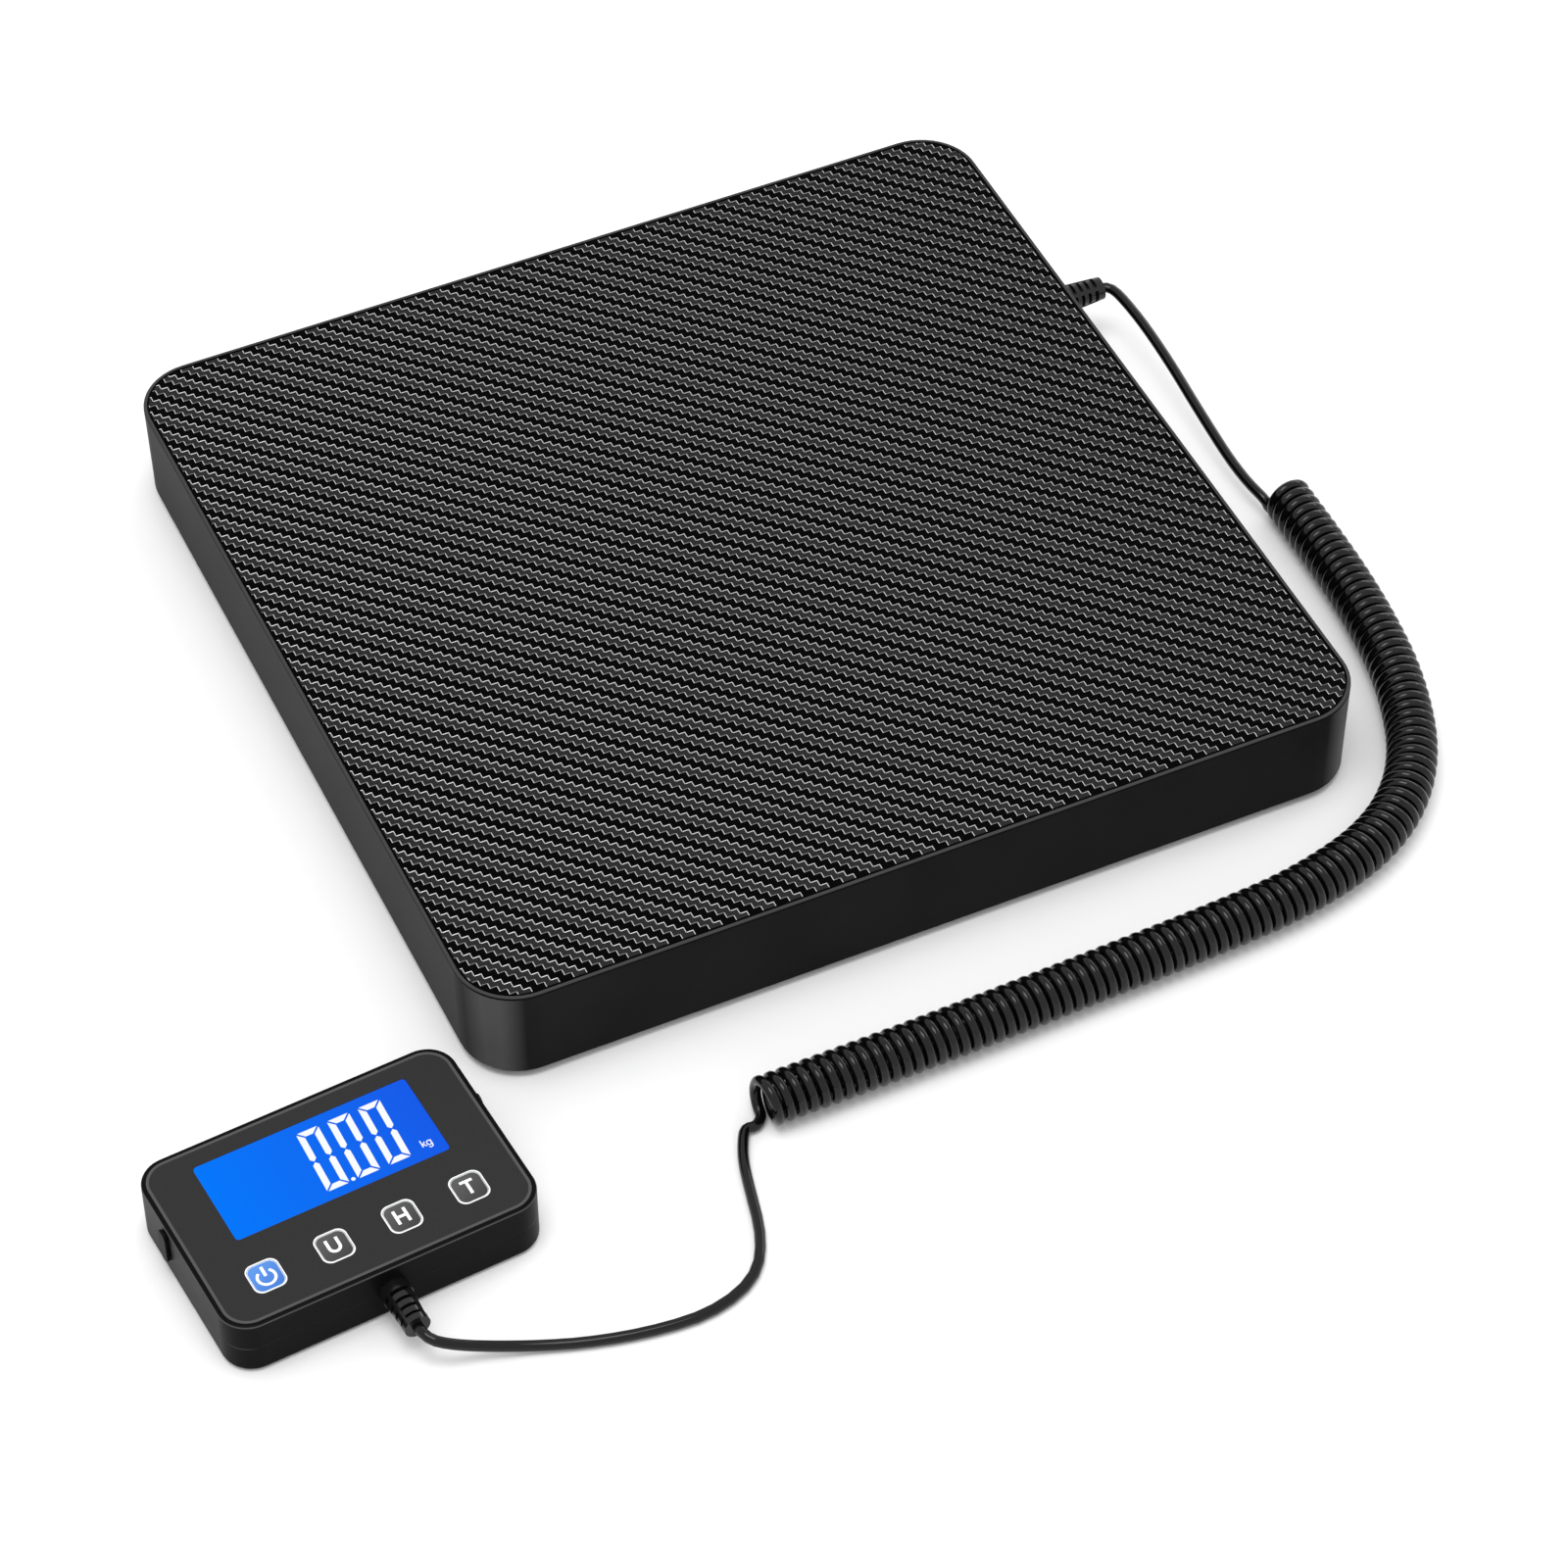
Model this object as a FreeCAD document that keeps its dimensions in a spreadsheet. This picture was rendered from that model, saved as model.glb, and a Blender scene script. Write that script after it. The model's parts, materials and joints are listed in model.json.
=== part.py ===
"""Platform shipping scale: a square weighing platform on four load cells, and a display unit on a curly cord.

Origin: the middle of the platform, at floor level.  +X runs to the side that the cord leaves, +Y to the
back, +Z up.
The display unit lies on the floor beside the platform, turned by display_yaw.  All sizes are in millimetres.
"""
import FreeCAD, Part
import math
import os

import Sketcher
from FreeCAD import Placement, Rotation, Vector

SIZES = {
    # platform case
    "platform_width": 300.0,
    "platform_depth": 300.0,
    "platform_radius": 19.5,
    "case_bottom": 3.0,
    "case_height": 34.0,
    "side_draft": 1.0,
    "skirt_wall": 2.5,
    "edge_round": 0.5,
    "rim_width": 1.15,
    "deck_gap": 0.4,
    "film_thickness": 0.5,
    "film_drop": 0.1,
    "plate_thickness": 1.2,
    "web_thickness": 2.8,
    "rib_thickness": 2.0,
    "rib_height": 8.0,
    "rib_pitch": 46.0,
    # bottom cover and its screws
    "cover_thickness": 2.5,
    "cover_lift": 0.2,
    "cover_gap": 0.35,
    "boss_radius": 3.6,
    "boss_edge": 12.0,
    "boss_spread": 120.0,
    "screw_radius": 1.5,
    "screw_head_radius": 2.9,
    "screw_head_height": 1.8,
    "screw_length": 10.0,
    # feet and load cells
    "foot_inset": 38.0,
    "foot_radius": 21.0,
    "foot_flange": 3.5,
    "foot_gap": 1.2,
    "foot_base_height": 4.8,
    "foot_flange_height": 1.6,
    "foot_stem_radius": 5.0,
    "pad_inset": 2.0,
    "pad_thickness": 2.0,
    "cell_width": 34.0,
    "cell_thickness": 2.4,
    "cell_bottom": 14.0,
    "cell_gap": 0.3,
    "cell_slot": 2.0,
    "tongue_width": 14.0,
    "tongue_length": 20.0,
    "holder_rim": 1.96,
    "holder_bore": 13.0,
    "holder_screw_gap": 1.3,
    # electronics in the platform
    "junction_width": 56.0,
    "junction_depth": 36.0,
    "junction_bottom": 14.0,
    "board_thickness": 1.6,
    "board_radius": 2.0,
    "junction_post": 22.0,
    "connector_width": 8.0,
    "connector_depth": 6.0,
    "connector_height": 3.4,
    "connector_inset": 12.5,
    "connector_edge": 5.0,
    "chip_height": 1.4,
    "sensor_wire_radius": 1.3,
    # cord
    "wire_diameter": 3.5,
    "coil_diameter": 16.4,
    "cord_exit_side": 71.0,
    "cord_exit_height": 20.0,
    "boot_neck_radius": 3.0,
    "boot_core_radius": 2.3,
    "boot_groove": 1.15,
    "boot_rail_width": 1.1,
    "boot_rail_height": 0.3,
    "platform_boot_radius": 5.1,
    "platform_boot_end": 3.9,
    "platform_boot_collar": 2.15,
    "platform_boot_pitch": 2.6,
    "platform_boot_tip": 2.6,
    "display_boot_radius": 5.0,
    "display_boot_end": 4.1,
    "display_boot_collar": 3.4,
    "display_boot_pitch": 2.95,
    "display_boot_tip": 1.9,
    "boot_flange_radius": 4.2,
    "boot_flange": 1.2,
    # display unit
    "display_side": 56.9,
    "display_front": 29.0,
    "display_yaw": 4.49,
    "display_width": 101.2,
    "display_depth": 69.0,
    "display_radius": 9.6,
    "display_wall": 1.8,
    "floor_thickness": 2.4,
    "display_boss_radius": 4.0,
    "bolt_inset": 2.9,
    "bolt_side": 0.5,
    "display_split": 10.5,
    "display_round": 0.7,
    "display_foot_round": 2.0,
    "panel_border": 1.5,
    "panel_gap": 0.2,
    "panel_thickness": 1.2,
    "front_deck": 1.4,
    "lens_width": 69.0,
    "lens_depth": 30.5,
    "lens_radius": 1.2,
    "lens_margin": 8.0,
    "lens_ledge": 1.5,
    "key_width": 9.3,
    "key_depth": 9.9,
    "key_radius": 2.5,
    "key_pitch": 21.73,
    "key_margin": 15.1,
    "key_gap": 0.2,
    "key_sink": 0.2,
    "key_flange": 0.9,
    "key_flange_height": 0.9,
    "key_rest_gap": 0.1,
    "key_travel": 0.4,
    "key_stem": 1.25,
    "stem_clearance": 0.05,
    "stem_radius": 1.6,
    "switch_width": 6.0,
    "switch_height": 2.2,
    "plunger_height": 0.6,
    "plunger_radius": 1.6,
    "board_side_gap": 3.8,
    "board_end_gap": 0.4,
    "panel_board_thickness": 1.0,
    "glass_margin": 1.5,
    "glass_thickness": 2.0,
    "backlight_thickness": 1.6,
    # battery bay
    "battery_radius": 5.25,
    "battery_length": 44.5,
    "battery_spacing": 0.9,
    "battery_headroom": 0.5,
    "battery_nipple": 1.0,
    "battery_nipple_radius": 1.9,
    "battery_middle": 5.5,
    "battery_lift": 2.2,
    "bay_clearance": 0.5,
    "bay_wall": 1.2,
    "spring_length": 3.4,
    "contact_thickness": 0.4,
    "door_thickness": 1.2,
    "door_sink": 0.2,
    "door_gap": 0.25,
    "door_margin": 2.4,
    "door_rear_gap": 1.4,
    "grip_width": 14.0,
    "grip_pitch": 1.6,
    "grip_groove": 0.8,
    "grip_depth": 0.35,
    # fold-out stand
    "pivot_side": 11.5,
    "pivot_height": 8.2,
    "pivot_radius": 1.6,
    "pivot_clearance": 0.06,
    "arm_thickness": 2.0,
    "arm_gap": 0.4,
    "arm_hub": 4.6,
    "bar_width": 6.2,
    "bar_margin": 4.35,
    "bar_lift": 0.7,
    "bar_thickness": 2.4,
    "bar_gap": 1.3,
    "ear_width": 5.0,
    "ear_height": 12.5,
    "ear_middle": 12.0,
    "ear_thickness": 0.9,
}

KEY_NAMES = ["power_key", "unit_key", "hold_key", "tare_key"]
CORNERS = [(1, 1), (-1, 1), (-1, -1), (1, -1)]

# Middle line of the cord, from the platform's boot to the display's: chosen points, each x, y, z.
PLATFORM_LEAD = [
    (168.9, 71.0, 20.0),
    (172.2, 71.0, 20.0),
    (173.7, 61.5, 19.6),
    (174.6, 48.0, 18.5),
    (174.8, 30.0, 16.4),
    (174.4, 14.0, 14.2),
    (174.3, -1.0, 12.1),
    (174.4, -13.0, 10.4),
    (175.4, -24.0, 9.0),
    (177.4, -32.6, 8.3),
]
COIL_LINE = [
    (183.8, -33.0, 8.3),
    (183.8, -62.0, 8.3),
    (182.0, -92.0, 8.3),
    (177.0, -124.0, 8.3),
    (164.0, -157.0, 8.3),
    (141.0, -178.5, 8.3),
    (108.0, -188.4, 8.3),
    (74.0, -190.6, 8.3),
    (38.0, -191.8, 8.3),
    (0.0, -193.0, 8.3),
    (-40.0, -193.8, 8.3),
    (-79.0, -193.8, 8.3),
]
DISPLAY_LEAD = [
    (-79.0, -195.0, 2.0),
    (-87.0, -195.0, 2.0),
    (-91.0, -204.5, 1.8),
    (-93.6, -218.0, 1.8),
    (-97.6, -235.0, 1.8),
    (-105.5, -248.0, 1.8),
    (-122.0, -254.0, 1.8),
    (-141.0, -252.6, 1.8),
    (-159.0, -248.4, 1.8),
    (-174.0, -243.0, 2.2),
    (-187.0, -239.0, 4.6),
    (-196.6, -236.9, 8.4),
    (-202.55, -233.6, 10.5),
    (-202.95, -228.9, 10.5),
]

os.makedirs("parts", exist_ok=True)
doc = FreeCAD.newDocument("shipping_scale")
sheet = doc.addObject("Spreadsheet::Sheet", "Sizes")
for row, (alias, number) in enumerate(SIZES.items(), start=1):
    sheet.set(f"A{row}", alias)
    sheet.set(f"B{row}", str(number))
    sheet.setAlias(f"B{row}", alias)
doc.recompute()


class Size:
    """A length from the sheet: its number now, and the formula that keeps it tied to the sheet's cells."""

    def __init__(self, number, formula):
        self.number = number
        self.formula = formula

    def __add__(self, other):
        other = size_of(other)
        return Size(self.number + other.number, f"({self.formula} + {other.formula})")

    def __sub__(self, other):
        other = size_of(other)
        return Size(self.number - other.number, f"({self.formula} - {other.formula})")

    def __mul__(self, other):
        other = size_of(other)
        return Size(self.number * other.number, f"({self.formula} * {other.formula})")

    def __truediv__(self, other):
        other = size_of(other)
        return Size(self.number / other.number, f"({self.formula} / {other.formula})")

    def __radd__(self, other):
        return size_of(other) + self

    def __rsub__(self, other):
        return size_of(other) - self

    def __rmul__(self, other):
        return size_of(other) * self

    def __neg__(self):
        return 0 - self


def size_of(value):
    """A Size stays as it is, and a plain number becomes one."""
    if isinstance(value, Size):
        return value
    return Size(float(value), f"({float(value)})")


class Sheet:
    """Reads each aliased cell of the sheet as a Size."""

    def __getattr__(self, alias):
        return Size(float(sheet.get(alias)), f"Sizes.{alias}")


at = Sheet()


def tangent(angle):
    """The tangent of an angle that the sheet keeps in degrees."""
    return Size(math.tan(math.radians(angle.number)), f"tan({angle.formula} * 1deg)")


def bind(target, name, value):
    """Ties one property of an object, or one constraint of a sketch, to its formula."""
    target.setExpression(name, size_of(value).formula)


# ---------------------------------------------------------------------------------------------------------
# Tools for sketches, bodies and primitives
# ---------------------------------------------------------------------------------------------------------
def new_body(label):
    body = doc.addObject("PartDesign::Body", label)
    body.Label = label
    return body


def new_sketch(body, offset=0, plane="XY_Plane"):
    """A sketch on one of the body's own planes, moved by offset along that plane's normal."""
    sketch = body.newObject("Sketcher::SketchObject", f"{body.Name}_sketch")
    support = next(item for item in body.Origin.OriginFeatures if item.Role == plane)
    sketch.AttachmentSupport = (support, "")
    sketch.MapMode = "FlatFace"
    bind(sketch, "AttachmentOffset.Base.z", offset)
    return sketch


def fix_point(sketch, item, end, x, y):
    """Holds one point of a sketch at x, y by two bound distances from the sketch's origin."""
    for kind, value, axis in (("DistanceX", size_of(x), -2), ("DistanceY", size_of(y), -1)):
        if value.number == 0:
            sketch.addConstraint(Sketcher.Constraint("PointOnObject", item, end, axis))
            continue
        index = sketch.addConstraint(Sketcher.Constraint(kind, -1, 1, item, end, value.number))
        bind(sketch, f"Constraints[{index}]", value)


def polygon(sketch, points):
    """A closed outline of straight lines through the given points."""
    corners = [Vector(size_of(x).number, size_of(y).number, 0) for x, y in points]
    lines = []
    for start, end in zip(corners, corners[1:] + corners[:1]):
        lines.append(sketch.addGeometry(Part.LineSegment(start, end), False))
    for here, after in zip(lines, lines[1:] + lines[:1]):
        sketch.addConstraint(Sketcher.Constraint("Coincident", here, 2, after, 1))
    for line, (x, y) in zip(lines, points):
        fix_point(sketch, line, 1, x, y)


def rectangle(sketch, x_low, x_high, y_low, y_high):
    polygon(sketch, [(x_low, y_low), (x_high, y_low), (x_high, y_high), (x_low, y_high)])


def circle(sketch, x, y, radius):
    radius = size_of(radius)
    centre = Vector(size_of(x).number, size_of(y).number, 0)
    item = sketch.addGeometry(Part.Circle(centre, Vector(0, 0, 1), radius.number), False)
    index = sketch.addConstraint(Sketcher.Constraint("Radius", item, radius.number))
    bind(sketch, f"Constraints[{index}]", radius)
    fix_point(sketch, item, 3, x, y)


def round_rectangle(sketch, width, depth, radius, x=0, y=0):
    """A rectangle centred on x, y whose four corners are arcs of one radius, tangent to its sides."""
    half_x = size_of(width) / 2 - radius
    half_y = size_of(depth) / 2 - radius
    r = radius.number
    centres = []
    for corner_x, corner_y in CORNERS:
        centres.append((x + corner_x * half_x, y + corner_y * half_y))
    arcs = []
    for quarter, (centre_x, centre_y) in enumerate(centres):
        ring = Part.Circle(Vector(centre_x.number, centre_y.number, 0), Vector(0, 0, 1), r)
        start = quarter * math.pi / 2
        arcs.append(sketch.addGeometry(Part.ArcOfCircle(ring, start, start + math.pi / 2), False))
    for quarter, arc in enumerate(arcs):
        start = sketch.getPoint(arc, 2)
        end = sketch.getPoint(arcs[(quarter + 1) % 4], 1)
        side = sketch.addGeometry(Part.LineSegment(start, end), False)
        sketch.addConstraint(Sketcher.Constraint("Tangent", arc, 2, side, 1))
        sketch.addConstraint(Sketcher.Constraint("Tangent", side, 2, arcs[(quarter + 1) % 4], 1))
    for arc, (centre_x, centre_y) in zip(arcs, centres):
        fix_point(sketch, arc, 3, centre_x, centre_y)
    index = sketch.addConstraint(Sketcher.Constraint("Radius", arcs[0], r))
    bind(sketch, f"Constraints[{index}]", radius)


def pad(body, sketch, length, draft=None):
    """Adds the sketch to the body, carried along its normal; a draft narrows it along the way."""
    feature = body.newObject("PartDesign::Pad", f"{body.Name}_pad")
    feature.Profile = sketch
    bind(feature, "Length", length)
    if draft is not None:
        bind(feature, "TaperAngle", draft)
    doc.recompute()
    return feature


def pocket(body, sketch, length, upward=False):
    """Cuts the sketch out of the body, against its normal unless upward, and proves that it cut."""
    before = body.Shape.Volume
    feature = body.newObject("PartDesign::Pocket", f"{body.Name}_pocket")
    feature.Profile = sketch
    feature.Reversed = upward
    bind(feature, "Length", length)
    doc.recompute()
    if not body.Shape.Volume < before:
        raise ValueError(f"{feature.Name} cuts nothing from {body.Label}")
    return feature


def round_edges(body, radius, wanted):
    """Fillets the edges of the body's last feature that the test picks out."""
    names = [f"Edge{n}" for n, edge in enumerate(body.Shape.Edges, start=1) if wanted(edge)]
    last = body.Tip
    feature = body.newObject("PartDesign::Fillet", f"{body.Name}_fillet")
    feature.Base = (last, names)
    bind(feature, "Radius", radius)
    doc.recompute()


def outer_edges_at(height, width, depth):
    """Picks the outline's edges that lie at one height, within a corner of the box that they bound."""

    def wanted(edge):
        box = edge.BoundBox
        level = abs(box.ZMin - height.number) < 1e-4 and abs(box.ZMax - height.number) < 1e-4
        reach = max(abs(box.XMin), abs(box.XMax)) - width.number / 2
        reach_y = max(abs(box.YMin), abs(box.YMax)) - depth.number / 2
        return level and max(reach, reach_y) > -1e-3

    return wanted


def plate(label, width, depth, radius, bottom, thickness, x=0, y=0):
    """A flat piece with round corners."""
    body = new_body(label)
    outline = new_sketch(body, bottom)
    round_rectangle(outline, width, depth, radius, x, y)
    pad(body, outline, thickness)
    return body


def cylinder(name, radius, height, x, y, z, turn=None):
    """A cylinder whose lower end is centred on x, y, z, standing up unless it is turned."""
    item = doc.addObject("Part::Cylinder", name)
    bind(item, "Radius", radius)
    bind(item, "Height", height)
    if turn is not None:
        item.Placement = Placement(Vector(), turn)
    for axis, value in zip("xyz", (x, y, z)):
        bind(item, f"Placement.Base.{axis}", value)
    return item


def cone(name, start_radius, end_radius, length, start):
    """A cone along X, from the plane x = start."""
    item = doc.addObject("Part::Cone", name)
    bind(item, "Radius1", start_radius)
    bind(item, "Radius2", end_radius)
    bind(item, "Height", length)
    item.Placement = Placement(Vector(), ALONG_X)
    bind(item, "Placement.Base.x", start)
    return item


def box(name, x_low, x_high, y_low, y_high, z_low, z_high):
    """A box between two corners."""
    item = doc.addObject("Part::Box", name)
    bind(item, "Length", x_high - x_low)
    bind(item, "Width", y_high - y_low)
    bind(item, "Height", z_high - z_low)
    for axis, value in zip("xyz", (x_low, y_low, z_low)):
        bind(item, f"Placement.Base.{axis}", value)
    return item


def fuse(label, items):
    joined = doc.addObject("Part::MultiFuse", label)
    joined.Shapes = items
    joined.Refine = True
    joined.Label = label
    return joined


def cut(label, base, tools):
    """The base with every tool taken out of it."""
    result = doc.addObject("Part::Cut", label)
    result.Base = base
    result.Tool = tools[0] if len(tools) == 1 else fuse(f"{label}_tools", tools)
    result.Refine = True
    result.Label = label
    return result


def group(label, items):
    """Several separate solids that share one node."""
    held = doc.addObject("Part::Compound", label)
    held.Links = items
    held.Label = label
    return held


ALONG_X = Rotation(Vector(0, 1, 0), 90)
nodes = []


def keep(item, placement=None):
    """Puts a finished sub-part on the list that is exported, at its place in the whole."""
    if placement is not None:
        item.Placement = placement
    nodes.append(item)
    return item


# ---------------------------------------------------------------------------------------------------------
# Heights and half sizes that several pieces share
# ---------------------------------------------------------------------------------------------------------
half_width = at.platform_width / 2
half_depth = at.platform_depth / 2
case_top = at.case_bottom + at.case_height
draft_inset = at.case_height * tangent(at.side_draft)
inner_inset = at.skirt_wall + draft_inset
inner_width = at.platform_width - 2 * inner_inset
inner_depth = at.platform_depth - 2 * inner_inset
inner_radius = at.platform_radius - inner_inset
deck_top = case_top - at.film_drop
plate_top = deck_top - at.film_thickness
recess_bottom = plate_top - at.plate_thickness
web_bottom = recess_bottom - at.web_thickness
cover_bottom = at.case_bottom + at.cover_lift
cover_top = cover_bottom + at.cover_thickness
foot_x = half_width - at.foot_inset
foot_y = half_depth - at.foot_inset
foot_places = [(sx * foot_x, sy * foot_y) for sx, sy in CORNERS]
flange_top = at.pad_thickness + at.foot_base_height + at.foot_flange_height
cell_top = at.cell_bottom + at.cell_thickness
boss_x = half_width - at.boss_edge - at.skirt_wall
boss_y = half_depth - at.boss_edge - at.skirt_wall
spread = at.boss_spread / 2
boss_places = [(sx * spread, sy * boss_y) for sx, sy in CORNERS]
boss_places += [(sx * boss_x, sy * spread) for sx, sy in CORNERS]
holder_radius = at.cell_width * math.sqrt(0.5) + at.holder_rim
holder_screw_offset = at.cell_width / 2 + at.screw_radius + at.holder_screw_gap
cell_bolts = []
for side_x, side_y in foot_places:
    cell_bolts += [(side_x + side * holder_screw_offset, side_y) for side in (-1, 1)]
board_posts = [(side * at.junction_post, 0) for side in (-1, 1)]
junction_top = at.junction_bottom + at.board_thickness
connector_x = at.junction_width / 2 - at.connector_inset
connector_y = at.junction_depth / 2 - at.connector_edge


# ---------------------------------------------------------------------------------------------------------
# Platform
# ---------------------------------------------------------------------------------------------------------
def platform_shell():
    """The case: a drafted skirt, a ribbed web, a recess for the deck, screw bosses and the cord's hole."""
    body = new_body("platform_shell")
    bottom = new_sketch(body, at.case_bottom)
    inset = 2 * draft_inset
    round_rectangle(
        bottom, at.platform_width - inset, at.platform_depth - inset, at.platform_radius - draft_inset
    )
    pad(body, bottom, at.case_height, at.side_draft)
    round_edges(body, at.edge_round, outer_edges_at(case_top, at.platform_width, at.platform_depth))
    recess = new_sketch(body, case_top)
    rim = 2 * at.rim_width
    round_rectangle(
        recess, at.platform_width - rim, at.platform_depth - rim, at.platform_radius - at.rim_width
    )
    pocket(body, recess, case_top - recess_bottom)
    inside = new_sketch(body, at.case_bottom)
    round_rectangle(inside, inner_width, inner_depth, inner_radius)
    pocket(body, inside, web_bottom - at.case_bottom, upward=True)
    rib_bottom = web_bottom - at.rib_height
    half_rib = at.rib_thickness / 2
    for along_x in (True, False):
        ribs = new_sketch(body, rib_bottom)
        reach = (inner_width if along_x else inner_depth) / 2
        across = (inner_depth if along_x else inner_width).number / 2
        count = int(across / at.rib_pitch.number)
        for step in range(-count, count + 1):
            middle = (step + 0.5) * at.rib_pitch
            if abs(middle.number) > across - at.rib_thickness.number:
                continue
            if along_x:
                rectangle(ribs, -reach, reach, middle - half_rib, middle + half_rib)
            else:
                rectangle(ribs, middle - half_rib, middle + half_rib, -reach, reach)
        pad(body, ribs, at.rib_height)
    clear = new_sketch(body, web_bottom)
    for x, y in foot_places:
        circle(clear, x, y, holder_radius + at.cell_gap)
    pocket(body, clear, at.rib_height)
    bosses = new_sketch(body, cover_top)
    for x, y in boss_places:
        circle(bosses, x, y, at.boss_radius)
    pad(body, bosses, web_bottom - cover_top)
    posts = new_sketch(body, junction_top)
    for x, y in board_posts:
        circle(posts, x, y, at.boss_radius)
    pad(body, posts, web_bottom - junction_top)
    pilots = new_sketch(body, cover_top)
    for x, y in boss_places:
        circle(pilots, x, y, at.screw_radius)
    pocket(body, pilots, at.screw_length, upward=True)
    post_pilots = new_sketch(body, junction_top)
    for x, y in board_posts:
        circle(post_pilots, x, y, at.screw_radius)
    pocket(body, post_pilots, at.screw_length, upward=True)
    web_pilots = new_sketch(body, web_bottom)
    for x, y in cell_bolts:
        circle(web_pilots, x, y, at.screw_radius)
    pocket(body, web_pilots, at.web_thickness / 2, upward=True)
    exit_hole = new_sketch(body, half_width + 1, "YZ_Plane")
    circle(exit_hole, at.cord_exit_side, at.cord_exit_height, at.boot_neck_radius)
    pocket(body, exit_hole, inner_inset + 1 + at.skirt_wall)
    return body


def deck():
    """The steel plate in the recess, and the patterned film on it."""
    inset = 2 * (at.rim_width + at.deck_gap)
    width = at.platform_width - inset
    depth = at.platform_depth - inset
    radius = at.platform_radius - at.rim_width - at.deck_gap
    keep(plate("deck_plate", width, depth, radius, recess_bottom, at.plate_thickness))
    keep(plate("deck_film", width, depth, radius, plate_top, at.film_thickness))


def bottom_cover():
    """The plate that closes the case from below, with an opening round each foot."""
    gap = 2 * at.cover_gap
    body = plate(
        "bottom_cover", inner_width - gap, inner_depth - gap, inner_radius - at.cover_gap, cover_bottom,
        at.cover_thickness,
    )
    openings = new_sketch(body, cover_top)
    for x, y in foot_places:
        circle(openings, x, y, at.foot_radius + at.foot_gap)
    for x, y in boss_places:
        circle(openings, x, y, at.screw_radius)
    pocket(body, openings, at.cover_thickness)
    sinks = new_sketch(body, cover_bottom)
    for x, y in boss_places:
        circle(sinks, x, y, at.screw_head_radius + at.cell_gap)
    pocket(body, sinks, at.screw_head_height, upward=True)
    return body


def screw(name, x, y, seat, length, upward=True):
    """A pan-head screw whose head's bearing face is at height seat, pointing up or down."""
    if upward:
        head_low, shank_low = seat - at.screw_head_height, seat
    else:
        head_low, shank_low = seat, seat - length
    head = cylinder(f"{name}_head", at.screw_head_radius, at.screw_head_height, x, y, head_low)
    shank = cylinder(f"{name}_shank", at.screw_radius, length, x, y, shank_low)
    slot_low = head_low if upward else head_low + at.screw_head_height / 2
    half = at.screw_radius * 1.2
    arm = at.screw_radius * 0.3
    slot_high = slot_low + at.screw_head_height / 2
    cross = [
        box(f"{name}_slot_x", x - half, x + half, y - arm, y + arm, slot_low, slot_high),
        box(f"{name}_slot_y", x - arm, x + arm, y - half, y + half, slot_low, slot_high),
    ]
    return cut(f"{name}_solid", fuse(f"{name}_blank", [head, shank]), cross)


def screws(label, places, seat, length, placement=None):
    solids = [screw(f"{label}_{n}", x, y, seat, length) for n, (x, y) in enumerate(places)]
    keep(group(label, solids), placement)


def load_cell_holder(number, x, y):
    """A round carrier under the web: the load cell sits flush in its underside and can bend into its bore."""
    body = new_body(f"load_cell_holder_{number}")
    ring = new_sketch(body, at.cell_bottom)
    circle(ring, x, y, holder_radius)
    pad(body, ring, web_bottom - at.cell_bottom)
    seat = new_sketch(body, at.cell_bottom)
    half = at.cell_width / 2 + at.cell_gap
    rectangle(seat, x - half, x + half, y - half, y + half)
    pocket(body, seat, at.cell_thickness, upward=True)
    bore = new_sketch(body, cell_top)
    circle(bore, x, y, at.holder_bore)
    pocket(body, bore, at.holder_bore / 2, upward=True)
    holes = new_sketch(body, at.cell_bottom)
    for side in (-1, 1):
        circle(holes, x + side * holder_screw_offset, y, at.screw_radius)
    pocket(body, holes, web_bottom - at.cell_bottom, upward=True)
    return body


def load_cell(number, x, y):
    """A steel plate with a tongue cut free on three sides, which the foot's stem bends upwards."""
    body = new_body(f"load_cell_{number}")
    outline = new_sketch(body, at.cell_bottom)
    half = at.cell_width / 2
    rectangle(outline, x - half, x + half, y - half, y + half)
    pad(body, outline, at.cell_thickness)
    slot = new_sketch(body, at.cell_bottom)
    inner = at.tongue_width / 2
    outer = inner + at.cell_slot
    low = y - at.tongue_length / 2
    tip = y + at.tongue_length / 2
    polygon(
        slot,
        [
            (x - outer, low),
            (x - inner, low),
            (x - inner, tip),
            (x + inner, tip),
            (x + inner, low),
            (x + outer, low),
            (x + outer, tip + at.cell_slot),
            (x - outer, tip + at.cell_slot),
        ],
    )
    pocket(body, slot, at.cell_thickness, upward=True)
    return body


def foot(number, x, y):
    """A moulded foot: a disc in the cover's opening, a wider flange over it, and a stem to the cell."""
    body = new_body(f"foot_{number}")
    base = new_sketch(body, at.pad_thickness)
    circle(base, x, y, at.foot_radius)
    pad(body, base, at.foot_base_height)
    flange = new_sketch(body, at.pad_thickness + at.foot_base_height)
    circle(flange, x, y, at.foot_radius + at.foot_flange)
    pad(body, flange, at.foot_flange_height)
    stem = new_sketch(body, flange_top)
    circle(stem, x, y, at.foot_stem_radius)
    pad(body, stem, at.cell_bottom - flange_top)
    return body


def foot_pad(number, x, y):
    """A rubber disc stuck under the foot, with a shallow ring groove."""
    body = new_body(f"foot_pad_{number}")
    disc = new_sketch(body, 0)
    radius = at.foot_radius - at.pad_inset
    circle(disc, x, y, radius)
    pad(body, disc, at.pad_thickness)
    groove = new_sketch(body, 0)
    circle(groove, x, y, radius * 0.72)
    circle(groove, x, y, radius * 0.6)
    pocket(body, groove, at.pad_thickness * 0.3, upward=True)
    return body


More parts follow.
